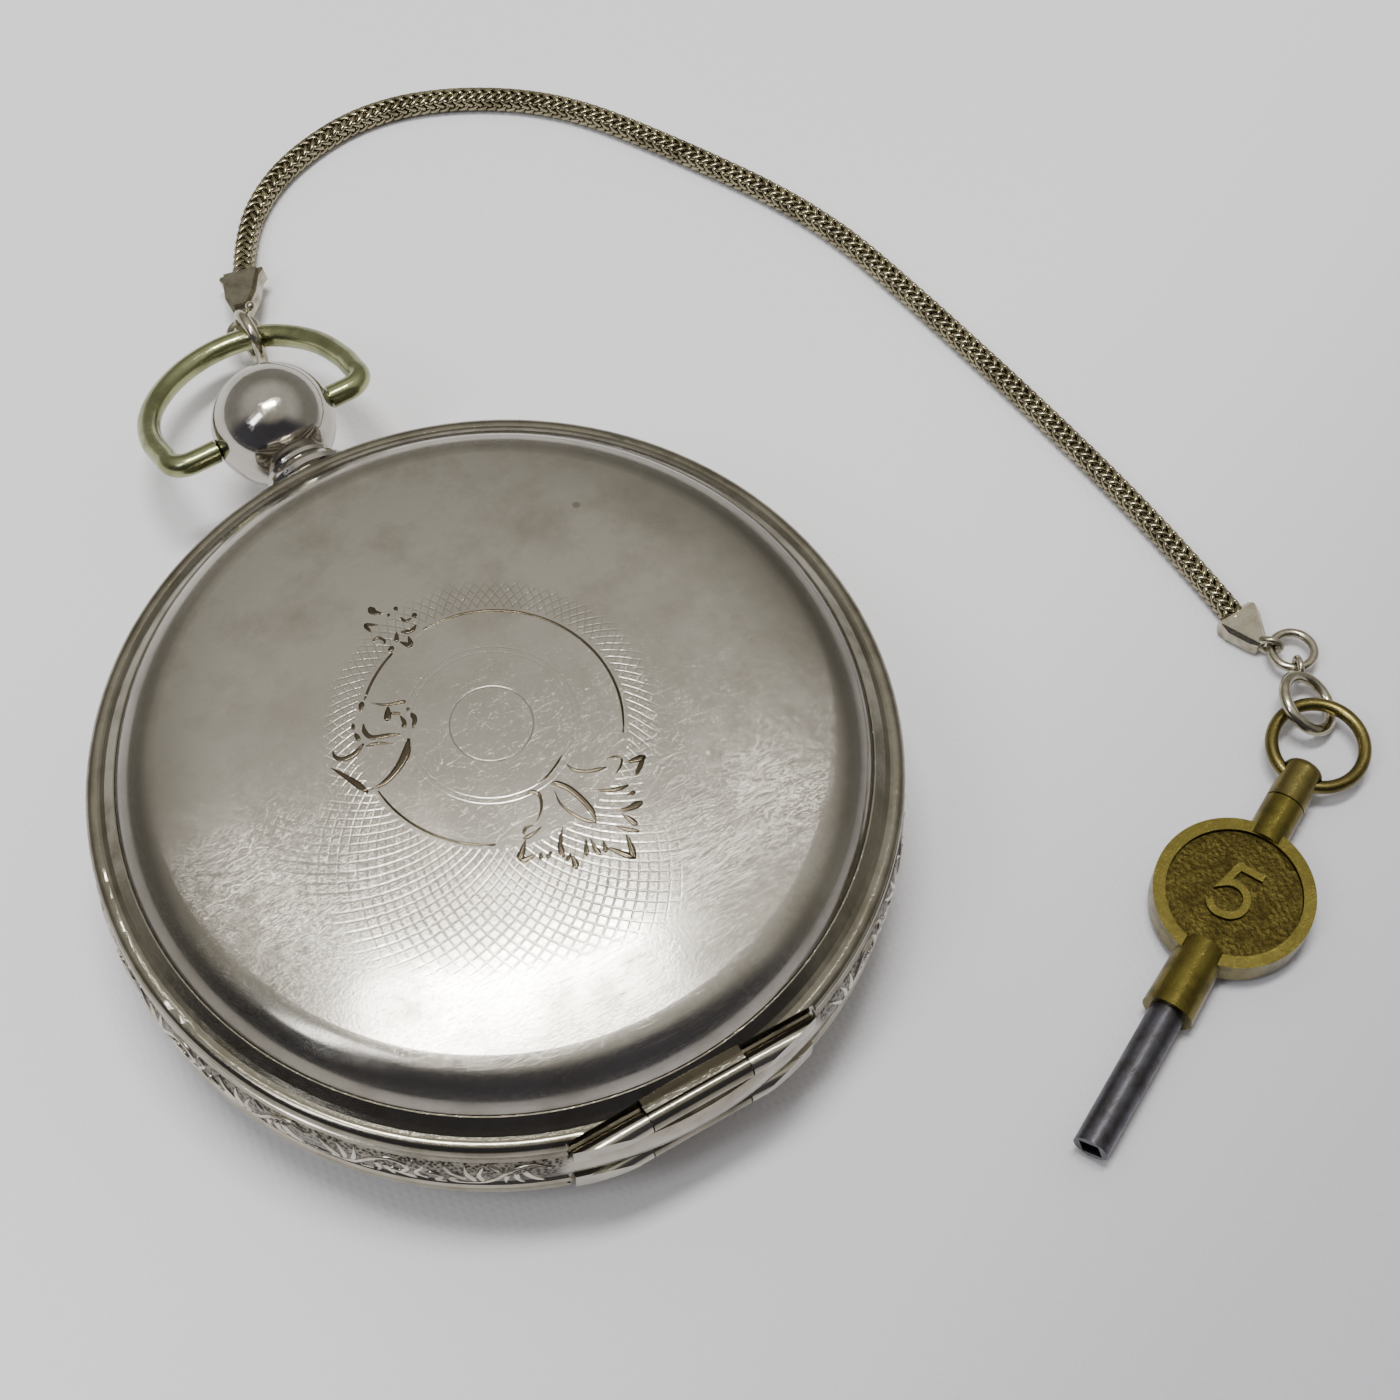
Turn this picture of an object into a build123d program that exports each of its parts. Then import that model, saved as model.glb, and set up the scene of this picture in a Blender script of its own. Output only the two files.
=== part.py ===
from build123d import *
from math import asin, atan2, cos, degrees, hypot, pi, radians, sin, tan
import os

# A key-wind pocket watch in a hunting case (a metal cover front and back), with a short woven fob
# chain and its winding key. Millimetres. +Z up; the watch lies dial side up on its back cover,
# pendant towards +Y, and the origin is the middle of the small worn flat on the back cover.

# ---- driving dimensions -------------------------------------------------------------------
case_diameter = 56.0
thickness = 19.4
band_half_height = 2.9
crease_radius = 25.6          # where a cover's domed panel meets its rim
shell = 0.6                   # sheet thickness of the domed panels
movement_radius = 22.35
case_bore = 22.5
cover_gap = 0.05              # between the band and a closed cover
fit = 0.03                    # radial clearance of a turning pin in its bore
knuckle_radius = 0.8
knuckle_reach = 9.1           # half the length of a cover hinge
pin_reach = 6.4               # half the length of its pin
knuckle_proud = 0.1           # how far a knuckle stands out of the band's round outline
hinge_y = -26.9
hinge_rise = 2.6              # a cover hinge's axis above or below the middle of the band
rest_flat = 4.0
ball_radius = 4.6
ball_y = 34.65
bow_tilt = 24.0
bow_wire = 0.875
chain_radius = 0.85
key_angle = 208.0
key_wire = 0.5

mid = thickness / 2
case_radius = case_diameter / 2
os.makedirs("parts", exist_ok=True)


def z(rise):
    """A height from its rise above the middle of the band."""
    return mid + rise


def polar(radius, angle):
    """A point from its radius and its angle in degrees."""
    return (radius * cos(radians(angle)), radius * sin(radians(angle)))


def upright(at):
    """The vertical drawing plane through a point, for outlines of (radius, height)."""
    return Plane(origin=(at[0], at[1], 0), x_dir=(1, 0, 0), z_dir=(0, -1, 0))


def turned(points, at=(0.0, 0.0)):
    """A solid turned about the vertical line through a point."""
    with BuildPart() as made:
        with BuildSketch(upright(at)):
            with BuildLine():
                Polyline(*points, close=True)
            make_face()
        revolve(axis=Axis((at[0], at[1], 0), (0, 0, 1)))
    return made.part


def cap_height(top, curve, radius):
    """The height of a spherical cap at a radius from its middle."""
    return top - curve + (curve**2 - radius**2) ** 0.5


def curve_of(fall, radius):
    """The radius of the sphere that falls by this much at a radius from its middle."""
    return (radius**2 + fall**2) / (2 * fall)


def spiral(at, first, last, half_turns, width):
    """A flat-sided spiral strip's outline."""
    steps = half_turns * 15
    outer, inner = [], []
    for k in range(steps + 1):
        radius = first + (last - first) * k / steps
        for points, offset in ((outer, width / 2), (inner, -width / 2)):
            x, y = polar(radius + offset, k * 12)
            points.append((at[0] + x, at[1] + y))
    return outer + inner[::-1]


def teeth_outline(count, module, phase, at, deep=1.3, high=0.8, width=0.42):
    """A wheel's outline with straight-sided teeth, which have backlash. phase is one tooth's angle in degrees."""
    pitch = 360 / count
    middle = count * module / 2
    out = []
    for k in range(count):
        for radius, share in (
            (middle - deep * module, -0.62 * width),
            (middle + high * module, -0.26 * width),
            (middle + high * module, 0.26 * width),
            (middle - deep * module, 0.62 * width),
        ):
            x, y = polar(radius, phase + (k + share) * pitch)
            out.append((at[0] + x, at[1] + y))
    return out


def meshing_phase(phase, count, other_count, direction):
    """The phase of a wheel whose gap takes the tooth of the wheel it meets, seen in a direction in degrees."""
    turns = (direction - phase) * count / 360
    return direction + 180 - (0.5 - turns) * 360 / other_count


def window(at, inner, outer, start, end, steps=5):
    """A flat-sided opening between two spokes of a wheel."""
    points = []
    for k in range(steps + 1):
        x, y = polar(outer, start + (end - start) * k / steps)
        points.append((at[0] + x, at[1] + y))
    for k in range(steps + 1):
        squeeze = (end - start) * 0.18
        x, y = polar(inner, end - squeeze - (end - start - 2 * squeeze) * k / steps)
        points.append((at[0] + x, at[1] + y))
    return points


def sector(inner, outer, low, high, start, end):
    """A block of a ring: its radii, its heights, and its angles in degrees."""
    middle = (start + end) / 2
    with BuildPart() as made:
        with BuildSketch(Plane.XY.offset(low)):
            with BuildLine():
                ThreePointArc(polar(outer, start), polar(outer, middle), polar(outer, end))
                Line(polar(outer, end), polar(inner, end))
                ThreePointArc(polar(inner, end), polar(inner, middle), polar(inner, start))
                Line(polar(inner, start), polar(outer, start))
            make_face()
        extrude(amount=high - low)
    return made.part


def heading(from_point, to_point):
    """The direction from one point to another, in degrees."""
    return degrees(atan2(to_point[1] - from_point[1], to_point[0] - from_point[0]))


def save(made, name):
    made.label = name
    export_step(made, "parts/" + name + ".step")


# ---- the case band: a chased ring that carries everything ---------------------------------
half = band_half_height
ledge_low, ledge_high = -0.9, -0.2
pocket_outer = 26.2
with BuildPart() as case_band:
    with BuildSketch(Plane.XZ):
        with BuildLine():
            Polyline(
                (case_radius - 0.45, z(2.05)), (case_radius - 0.5, z(2.2)), (case_radius - 0.25, z(2.35)),
                (case_radius - 0.12, z(2.6)), (case_radius - 0.25, z(2.8)), (case_radius - 0.5, z(half)),
                (case_bore, z(half)), (case_bore, z(ledge_high)), (case_bore - 0.8, z(ledge_high)),
                (case_bore - 0.8, z(ledge_low)), (case_bore, z(ledge_low)), (case_bore, z(-half)),
                (case_radius - 0.5, z(-half)), (case_radius - 0.25, z(-2.8)), (case_radius - 0.12, z(-2.6)),
                (case_radius - 0.25, z(-2.35)), (case_radius - 0.5, z(-2.2)), (case_radius - 0.45, z(-2.05)),
            )
            ThreePointArc(
                (case_radius - 0.45, z(-2.05)), (case_radius, z(0)), (case_radius - 0.45, z(2.05))
            )
        make_face()
    revolve(axis=Axis.Z)

spring_pocket = sector(case_bore - 1, pocket_outer, z(-1.6), z(1.6), 10, 170)
catch_slot = sector(22.9, 24.15, z(1.5), z(half + 0.1), 86.0, 94.6)
lift_slot = sector(24.45, 25.35, z(1.5), z(half + 0.1), 98.5, 106.0)
screw_spots = [(21.2, -25.0), (21.2, 205.0)]
hinge_gap = 0.1
for_knuckle = [(-6.45, 2.65), (6.45, 2.65)]        # middle and half length of the band's knuckles
with case_band:
    add(spring_pocket, mode=Mode.SUBTRACT)
    add(catch_slot, mode=Mode.SUBTRACT)
    add(lift_slot, mode=Mode.SUBTRACT)
    # the bore for the pendant's tube
    with BuildSketch(Plane.XZ.offset(-25.5)):
        with Locations((0, z(0))):
            Circle(1.9)
    extrude(amount=-3, mode=Mode.SUBTRACT)
    for side in (1, -1):
        # the straight notch a cover's hinge lies in, and the band's two knuckles in it
        with Locations((0, hinge_y - 0.5, z(side * 2.75))):
            Box(2 * knuckle_reach + 0.4, 3.0, 2.3, mode=Mode.SUBTRACT)
        for centre, reach in for_knuckle:
            with Locations((centre, hinge_y + 0.55, z(side * 1.95))):
                Box(2 * reach, 1.1, 0.9)
            with Locations(Location((centre, hinge_y, z(side * hinge_rise)), (0, 90, 0))):
                Cylinder(knuckle_radius, 2 * reach)
        with Locations(Location((0, hinge_y, z(side * hinge_rise)), (0, 90, 0))):
            Cylinder(0.4, 2 * pin_reach, mode=Mode.SUBTRACT)
    # the knuckles are filed off to the round outline of the band
    with Locations((0, 0, z(0))):
        Cylinder(case_radius + knuckle_proud, 4 * half, mode=Mode.INTERSECT)
    # the two knuckles that carry the dust cover
    for centre in (-2.5, 2.5):
        with Locations((centre, -23.75, z(-3.2))):
            Box(1.8, 1.1, 0.7)
        with Locations(Location((centre, -24.05, z(-3.5)), (0, 90, 0))):
            Cylinder(0.5, 1.8)
    with Locations(Location((0, -24.05, z(-3.5)), (0, 90, 0))):
        Cylinder(0.22, 7, mode=Mode.SUBTRACT)
save(case_band.part, "case_band")

# ---- hinge pins ----------------------------------------------------------------------------
for name, rise, y, radius, length in (
    ("front_hinge_pin", hinge_rise, hinge_y, 0.4, 2 * pin_reach),
    ("back_hinge_pin", -hinge_rise, hinge_y, 0.4, 2 * pin_reach),
    ("cuvette_hinge_pin", -3.5, -24.05, 0.22, 6.8),
):
    with BuildPart() as pin:
        with Locations(Location((0, y, z(rise)), (0, 90, 0))):
            Cylinder(radius, length)
    save(pin.part, name)

# ---- the two covers: a rim with its middle knuckle, and a domed panel soldered in it --------
seat_radius = crease_radius + 0.03
for side, name in ((1, "front_cover"), (-1, "back_cover")):
    low = half + cover_gap
    with BuildPart() as rim:
        with BuildSketch(Plane.XZ):
            with BuildLine():
                Polyline(
                    (26.95, z(side * 4.25)), (26.75, z(side * 4.3)), (26.4, z(side * 4.5)),
                    (seat_radius + 0.1, z(side * 5.15)), (seat_radius, z(side * 5.15)),
                    (seat_radius, z(side * 4.6)), (24.6, z(side * 4.6)), (24.6, z(side * 3.5)),
                    (24.3, z(side * 3.4)), (24.3, z(side * low)), (27.5, z(side * low)),
                )
                ThreePointArc(
                    (27.5, z(side * low)), (27.82, z(side * 3.55)), (26.95, z(side * 4.25))
                )
            make_face()
        revolve(axis=Axis.Z)
        # the straight cut beside the hinge, with a scooped end each way
        with Locations((0, hinge_y - 0.6, z(side * 4.0))):
            Box(2 * knuckle_reach + 0.4, 3.0, 3.0, mode=Mode.SUBTRACT)
        with Locations(Location((0, hinge_y, z(side * hinge_rise)), (0, 90, 0))):
            Cylinder(1.05, 2 * knuckle_reach + 2.6, mode=Mode.SUBTRACT)
        with Locations((0, hinge_y + 0.55, z(side * 3.15))):
            Box(7.4, 1.1, 0.4)
        with Locations(Location((0, hinge_y, z(side * hinge_rise)), (0, 90, 0))):
            Cylinder(knuckle_radius, 7.4)
            Cylinder(0.4 + fit, 9, mode=Mode.SUBTRACT)
        if side < 0:
            # room for the dust cover's hinge, and the thumb lip that opens the back
            with Locations((0, -24.45, z(-3.5))):
                Box(7.6, 1.1, 1.4, mode=Mode.SUBTRACT)
            with Locations((17.9, 21.33, z(-3.35))):
                with Locations(Rotation(0, 0, 50)):
                    Box(1.1, 4.2, 0.5)
    save(rim.part, name + "_rim")
    flat = 0.0 if side > 0 else rest_flat
    top = thickness / 2
    arc_radius = 132.0
    crown = top + arc_radius - (arc_radius**2 - flat**2) ** 0.5
    shoulder = (22.5, cap_height(crown, arc_radius, 22.5))
    slope = asin(22.5 / arc_radius)
    inner_shoulder = (shoulder[0] - shell * sin(slope), shoulder[1] - shell * cos(slope))
    with BuildPart() as dome:
        with BuildSketch(Plane.XZ):
            with BuildLine():
                if flat:
                    Line((0, z(side * top)), (flat, z(side * top)))
                ThreePointArc(
                    (flat, z(side * top)),
                    (12.0, z(side * cap_height(crown, arc_radius, 12.0))),
                    (shoulder[0], z(side * shoulder[1])),
                )
                ThreePointArc(
                    (shoulder[0], z(side * shoulder[1])),
                    (24.53, z(side * 6.82)),
                    (crease_radius, z(side * 5.15)),
                )
                Line((crease_radius, z(side * 5.15)), (crease_radius, z(side * 4.6)))
                Line((crease_radius, z(side * 4.6)), (crease_radius - shell, z(side * 4.6)))
                Line((crease_radius - shell, z(side * 4.6)), (crease_radius - shell, z(side * 5.1)))
                ThreePointArc(
                    (crease_radius - shell, z(side * 5.1)),
                    (24.02, z(side * 6.46)),
                    (inner_shoulder[0], z(side * inner_shoulder[1])),
                )
                ThreePointArc(
                    (inner_shoulder[0], z(side * inner_shoulder[1])),
                    (12.0, z(side * cap_height(crown - shell, arc_radius - shell, 12.0))),
                    (0, z(side * (crown - shell))),
                )
                Line((0, z(side * (crown - shell))), (0, z(side * top)))
            make_face()
        revolve(axis=Axis.Z)
    save(dome.part, name + "_dome")

# ---- the dust cover over the movement, with a hole for the key -----------------------------
barrel_at = polar(11.25, 80)
with BuildPart() as cuvette:
    with BuildSketch(Plane.XZ):
        with BuildLine():
            Line((0, z(-8.5)), (0, z(-8.1)))
            ThreePointArc(
                (0, z(-8.1)), (11.0, z(-cap_height(8.1, curve_of(1.1, 20.8), 11.0))), (20.8, z(-7.0))
            )
            ThreePointArc((20.8, z(-7.0)), (22.35, z(-5.7)), (22.9, z(-3.5)))
            Line((22.9, z(-3.5)), (22.9, z(-half - 0.05)))
            Line((22.9, z(-half - 0.05)), (23.9, z(-half - 0.05)))
            Line((23.9, z(-half - 0.05)), (23.9, z(-3.3)))
            Line((23.9, z(-3.3)), (23.3, z(-3.6)))
            ThreePointArc((23.3, z(-3.6)), (22.7, z(-5.95)), (20.9, z(-7.4)))
            ThreePointArc(
                (20.9, z(-7.4)), (11.0, z(-cap_height(8.5, curve_of(1.1, 20.9), 11.0))), (0, z(-8.5))
            )
        make_face()
    revolve(axis=Axis.Z)
    with BuildSketch(Plane.XY.offset(z(-9))):
        with Locations(barrel_at):
            Circle(2.0)
    extrude(amount=3, mode=Mode.SUBTRACT)
    for centre in (-2.5, 2.5):
        with Locations((centre, -23.9, z(-3.35))):
            Box(2.1, 1.5, 1.5, mode=Mode.SUBTRACT)
    with Locations((0, -23.75, z(-3.35))):
        Box(2.9, 0.9, 0.5)
    with Locations(Location((0, -24.05, z(-3.5)), (0, 90, 0))):
        Cylinder(0.5, 2.9)
        Cylinder(0.22 + fit, 5, mode=Mode.SUBTRACT)
save(cuvette.part, "cuvette")

# ---- pendant, push piece, bow ---------------------------------------------------------------
along_pendant = Plane(origin=(0, 0, z(0)), x_dir=(1, 0, 0), z_dir=(0, 0, 1))
with BuildPart() as pendant:
    with BuildSketch(along_pendant):
        with BuildLine():
            Polyline(
                (0, 27.0), (2.7, 27.0), (2.7, 28.3), (3.25, 28.45), (3.4, 28.8), (3.25, 29.15), (2.5, 29.3),
                (2.3, 29.6), (2.65, 29.8), (2.75, 30.05), (2.6, 30.3), (2.3, 30.45), (2.2, 30.61),
            )
            ThreePointArc((2.2, 30.61), (ball_radius, ball_y), (2.2, 38.69))
            Polyline((2.2, 38.69), (0, 38.69), (0, 27.0))
        make_face()
    revolve(axis=Axis((0, 0, z(0)), (0, 1, 0)))
    with Locations((0, 0, z(0))):
        Cylinder(case_radius + 0.03, 8, mode=Mode.SUBTRACT)
    with BuildSketch(Plane.XZ.offset(-26.4)):
        with Locations((0, z(0))):
            Circle(1.87)
    extrude(amount=-2.2)
    with BuildSketch(Plane.XZ.offset(-26)):
        with Locations((0, z(0))):
            Circle(1.35)
    extrude(amount=-14, mode=Mode.SUBTRACT)
    with BuildSketch(Plane.XZ.offset(-37.9)):
        with Locations((0, z(0))):
            Circle(1.85)
    extrude(amount=-2, mode=Mode.SUBTRACT)
    with Locations(Location((0, ball_y, z(0)), (0, 90, 0))):
        Cylinder(0.55, 12, mode=Mode.SUBTRACT)
save(pendant.part, "pendant")

with BuildPart() as push_piece:
    with BuildSketch(along_pendant):
        with BuildLine():
            Polyline(
                (0, 25.3), (1.0, 25.3), (1.2, 25.5), (1.2, 38.45), (1.75, 38.45), (1.75, 38.9), (1.45, 39.25),
                (0, 39.35), close=True,
            )
        make_face()
    revolve(axis=Axis((0, 0, z(0)), (0, 1, 0)))
    # a waist where the bow's pivots reach in
    with BuildSketch(along_pendant):
        with Locations((1.5, ball_y)):
            Rectangle(1.0, 3.0)
    revolve(axis=Axis((0, 0, z(0)), (0, 1, 0)), mode=Mode.SUBTRACT)
save(push_piece.part, "push_piece")

tilt = radians(bow_tilt)
bow_plane = Plane(origin=(0, 0, 0), x_dir=(1, 0, 0), z_dir=(0, sin(tilt), cos(tilt)))
bow_turn = 1.5                     # bend where the wire leaves the pivots
bow_points = [
    (-8.1, bow_turn), (-8.2, 4.2), (-7.4, 7.7), (-5.3, 10.5), (-2.4, 12.3), (0.8, 12.8),
    (3.6, 12.0), (5.8, 9.7), (7.1, 6.8), (7.6, 3.8), (7.6, bow_turn),
]
wire_end = ball_radius + 0.04
with BuildPart() as bow_wire_form:
    with BuildLine(bow_plane) as bow_line:
        leave, come_back = bow_points[0][0] + bow_turn, bow_points[-1][0] - bow_turn
        bend = bow_turn * (1 - cos(pi / 4))
        Line((-wire_end, 0), (leave, 0))
        ThreePointArc((leave, 0), (bow_points[0][0] + bend, bend), bow_points[0])
        Spline(*bow_points, tangents=[(0, 1), (0, -1)])
        ThreePointArc(bow_points[-1], (bow_points[-1][0] - bend, bend), (come_back, 0))
        Line((come_back, 0), (wire_end, 0))
    with BuildSketch(Plane(origin=(-wire_end, 0, 0), z_dir=(-1, 0, 0))):
        Circle(bow_wire)
    sweep()
    for side in (1, -1):
        with Locations(Location((side * 4.15, 0, 0), (0, 90, 0))):
            Cylinder(0.5, 1.7)
with BuildPart() as bow:
    with Locations((0, ball_y, z(0))):
        add(bow_wire_form.part)
save(bow.part, "bow")

# ---- the two springs in the band -----------------------------------------------------------
with BuildPart() as lock_spring:
    add(sector(23.5, 24.1, z(-1.2), z(1.2), 18, 93))
    add(sector(23.5, 26.1, z(-1.2), z(1.2), 13, 21))
    add(sector(23.7, 25.22, z(-0.9), z(0.9), 87.5, 92.4))
    add(sector(23.5, 24.0, z(0.95), z(3.9), 88.1, 92.1))
save(lock_spring.part, "lock_spring")

with BuildPart() as lift_spring:
    add(sector(24.6, 25.2, z(-1.2), z(1.2), 100, 162))
    add(sector(24.6, 26.15, z(-1.2), z(1.2), 158, 167))
    add(sector(24.6, 25.2, z(1.0), z(half), 99.5, 105))
save(lift_spring.part, "lift_spring")

# ---- bezel, crystal, dial and hands ---------------------------------------------------------
bezel = turned([
    (22.9, z(half)), (22.9, z(3.6)), (22.6, z(4.35)), (22.2, z(4.55)), (21.9, z(4.45)), (21.9, z(3.5)),
    (21.2, z(3.5)), (21.2, z(2.98)), (22.45, z(half)),
])
save(bezel, "bezel")

with BuildPart() as crystal:
    with BuildSketch(Plane.XZ):
        with BuildLine():
            Line((0, z(5.6)), (0, z(6.3)))
            ThreePointArc(
                (0, z(6.3)), (11.0, z(cap_height(6.3, curve_of(2.3, 21.87), 11.0))), (21.87, z(4.0))
            )
            Line((21.87, z(4.0)), (21.87, z(3.5)))
            Line((21.87, z(3.5)), (21.1, z(3.5)))
            ThreePointArc(
                (21.1, z(3.5)), (11.0, z(cap_height(5.6, curve_of(2.1, 21.1), 11.0))), (0, z(5.6))
            )
        make_face()
    revolve(axis=Axis.Z)
save(crystal.part, "crystal")

fourth_at = (0.0, -11.2)
feet = [polar(17.5, angle) for angle in (20, 140, 262)]
with BuildPart() as dial:
    with BuildSketch(Plane.XY.offset(z(2.0))):
        Circle(22.2)
        Circle(1.45, mode=Mode.SUBTRACT)
        with Locations(fourth_at):
            Circle(0.45, mode=Mode.SUBTRACT)
    extrude(amount=0.8)
    with BuildSketch(Plane.XY.offset(z(2.5))):
        with Locations(fourth_at):
            Circle(5.4)
            Circle(0.45, mode=Mode.SUBTRACT)
    extrude(amount=0.4, mode=Mode.SUBTRACT)
    with BuildSketch(Plane.XY.offset(z(0.9))):
        with Locations(*feet):
            Circle(0.45)
    extrude(amount=1.1)
save(dial.part, "dial")


def hand(outline, direction, low, thick, hub, bore, at=(0.0, 0.0)):
    """A flat hand: its outline along +X turned to a direction, with a hub and a bore."""
    points = []
    for x, y in outline:
        r, a = hypot(x, y), degrees(atan2(y, x))
        px, py = polar(r, a + direction)
        points.append((at[0] + px, at[1] + py))
    with BuildPart() as made:
        with BuildSketch(Plane.XY.offset(low)):
            with BuildLine():
                Polyline(*points, close=True)
            make_face()
            with Locations(at):
                Circle(hub)
                Circle(bore, mode=Mode.SUBTRACT)
        extrude(amount=thick)
    return made.part


hour_outline = [
    (0.5, 0.28), (7.6, 0.2), (8.2, 0.75), (8.9, 1.25), (9.7, 1.2), (10.4, 0.6), (11.0, 0.18), (12.6, 0.0),
]
minute_outline = [
    (0.4, 0.24), (12.2, 0.17), (12.8, 0.6), (13.5, 1.0), (14.3, 0.95), (15.0, 0.45), (15.6, 0.14), (18.4, 0.0),
]
second_outline = [(-1.6, 0.2), (-1.2, 0.3), (-0.6, 0.12), (0.5, 0.1), (4.3, 0.0)]
save(
    hand(hour_outline + [(x, -y) for x, y in reversed(hour_outline[:-1])], 145, z(3.15), 0.22, 1.7, 1.2),
    "hour_hand",
)
save(
    hand(minute_outline + [(x, -y) for x, y in reversed(minute_outline[:-1])], 30, z(3.75), 0.2, 1.2, 0.62),
    "minute_hand",
)
save(
    hand(
        second_outline + [(x, -y) for x, y in reversed(second_outline[:-1])], 210, z(2.75), 0.14, 0.55, 0.2,
        fourth_at,
    ),
    "seconds_hand",
)

# ---- movement: plates, pillars and screws ----------------------------------------------------
plate_low, plate_high = -0.2, 1.8
top_low, top_high = -4.8, -3.6
third_at = polar(9.0, -47.2)
escape_at = (fourth_at[0] + polar(5.72, 195)[0], fourth_at[1] + polar(5.72, 195)[1])
balance_at = (-11.5, -4.0)
to_balance = heading(escape_at, balance_at)
pallet_at = (escape_at[0] + polar(4.5, to_balance)[0], escape_at[1] + polar(4.5, to_balance)[1])
minute_at = polar(3.0, 150)
pillar_at = [polar(19.2, angle) for angle in (12, 152, 203, 303)]
pivot = 0.2
running = 0.04

with BuildPart() as pillar_plate:
    with BuildSketch(Plane.XY.offset(z(plate_low))):
        Circle(movement_radius)
    extrude(amount=plate_high - plate_low)
    # the hollow the motion work turns in, under the dial
    with BuildSketch(Plane.XY.offset(z(0.6))):
        Circle(5.4)
        with Locations(minute_at):
            Circle(3.0)
    extrude(amount=2, mode=Mode.SUBTRACT)
    with BuildSketch(Plane.XY.offset(z(0.7))):
        with Locations(*feet):
            Circle(0.5)
    extrude(amount=2, mode=Mode.SUBTRACT)
    with BuildSketch(Plane.XY.offset(z(-1))):
        Circle(0.5 + running)
        with Locations(fourth_at):
            Circle(0.24)
        with Locations(third_at, escape_at, pallet_at, balance_at):
            Circle(pivot + running)
        with Locations(barrel_at):
            Circle(0.8 + running)
        with Locations(*[polar(*spot) for spot in screw_spots]):
            Circle(0.42)
    extrude(amount=4, mode=Mode.SUBTRACT)
save(pillar_plate.part, "pillar_plate")

with BuildPart() as top_plate:
    with BuildSketch(Plane.XY.offset(z(top_low))):
        Circle(20.9)
        Circle(0.45 + running, mode=Mode.SUBTRACT)
        with Locations(third_at, escape_at, pallet_at, fourth_at):
            Circle(pivot + running, mode=Mode.SUBTRACT)
        with Locations(balance_at):
            Circle(0.8, mode=Mode.SUBTRACT)
        with Locations(barrel_at):
            Circle(1.1 + running, mode=Mode.SUBTRACT)
        with Locations(*pillar_at):
            Circle(0.55, mode=Mode.SUBTRACT)
    extrude(amount=top_high - top_low)
save(top_plate.part, "top_plate")

for number, spot in enumerate(pillar_at, 1):
    low, high = z(top_high), z(plate_low)
    pillar = turned([
        (0, low + 1.8), (0, high), (1.5, high), (1.5, high - 0.4), (0.95, high - 0.7), (0.95, low + 0.7),
        (1.5, low + 0.4), (1.5, low), (0.5, low), (0.5, low + 1.8),
    ], spot)
    save(pillar, "pillar_" + str(number))
    with BuildPart() as screw:
        with BuildSketch(Plane.XY.offset(z(top_low - 0.35))):
            with Locations(spot):
                Circle(1.0)
        extrude(amount=0.35)
        with BuildSketch(Plane.XY.offset(z(top_low))):
            with Locations(spot):
                Circle(0.5)
        extrude(amount=2.9)
        with Locations((spot[0], spot[1], z(top_low - 0.35))):
            with Locations(Rotation(0, 0, 37 * number)):
                Box(2.2, 0.3, 0.36, mode=Mode.SUBTRACT)
    save(screw.part, "pillar_screw_" + str(number))

for number, spot in enumerate(screw_spots, 1):
    at = polar(*spot)
    with BuildPart() as screw:
        with BuildSketch(Plane.XY.offset(z(ledge_low - 0.5))):
            with Locations(at):
                Circle(0.95)
        extrude(amount=0.5)
        with BuildSketch(Plane.XY.offset(z(ledge_low))):
            with Locations(at):
                Circle(0.42)
        extrude(amount=2.4)
        with Locations((at[0], at[1], z(ledge_low - 0.5))):
            Box(2.2, 0.3, 0.4, mode=Mode.SUBTRACT)
    save(screw.part, "case_screw_" + str(number))


def wheel(at, count, module, phase, low, thick, bore, spokes=5, rim=0.75, hub=1.2):
    """A toothed wheel with spokes."""
    with BuildPart() as made:
        with BuildSketch(Plane.XY.offset(low)):
            with BuildLine():
                Polyline(*teeth_outline(count, module, phase, at), close=True)
            make_face()
            if bore:
                with Locations(at):
                    Circle(bore, mode=Mode.SUBTRACT)
            if spokes:
                outer = (count / 2 - 1.3) * module - rim
                for k in range(spokes):
                    half_open = 180 / spokes - degrees(0.35 / outer)
                    turn = phase + (k + 0.5) * 360 / spokes
                    with BuildLine():
                        Polyline(*window(at, hub, outer, turn - half_open, turn + half_open), close=True)
                    make_face(mode=Mode.SUBTRACT)
        extrude(amount=thick)
    return made.part


def arbor(at, steps):
    """A turned arbor from (radius, low, high) steps."""
    with BuildPart() as made:
        for radius, low, high in steps:
            with BuildSketch(Plane.XY.offset(low)):
                with Locations(at):
                    Circle(radius)
            extrude(amount=high - low)
    return made.part


# ---- going train: phases follow from one wheel to the next -----------------------------------
barrel_teeth, centre_leaves, barrel_module = 78, 12, 0.25
centre_teeth, third_leaves, centre_module = 80, 10, 0.2
third_teeth, fourth_leaves, third_module = 75, 10, 0.18
fourth_teeth, escape_leaves, fourth_module = 80, 8, 0.13
centre_phase = 0.0
barrel_phase = meshing_phase(centre_phase, centre_leaves, barrel_teeth, 80.0)
third_pinion_phase = meshing_phase(centre_phase, centre_teeth, third_leaves, -47.2)
third_phase = 0.0
to_fourth = heading(third_at, fourth_at)
fourth_pinion_phase = meshing_phase(third_phase, third_teeth, fourth_leaves, to_fourth)
fourth_phase = 0.0
to_escape = heading(fourth_at, escape_at)
escape_pinion_phase = meshing_phase(fourth_phase, fourth_teeth, escape_leaves, to_escape)

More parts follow.
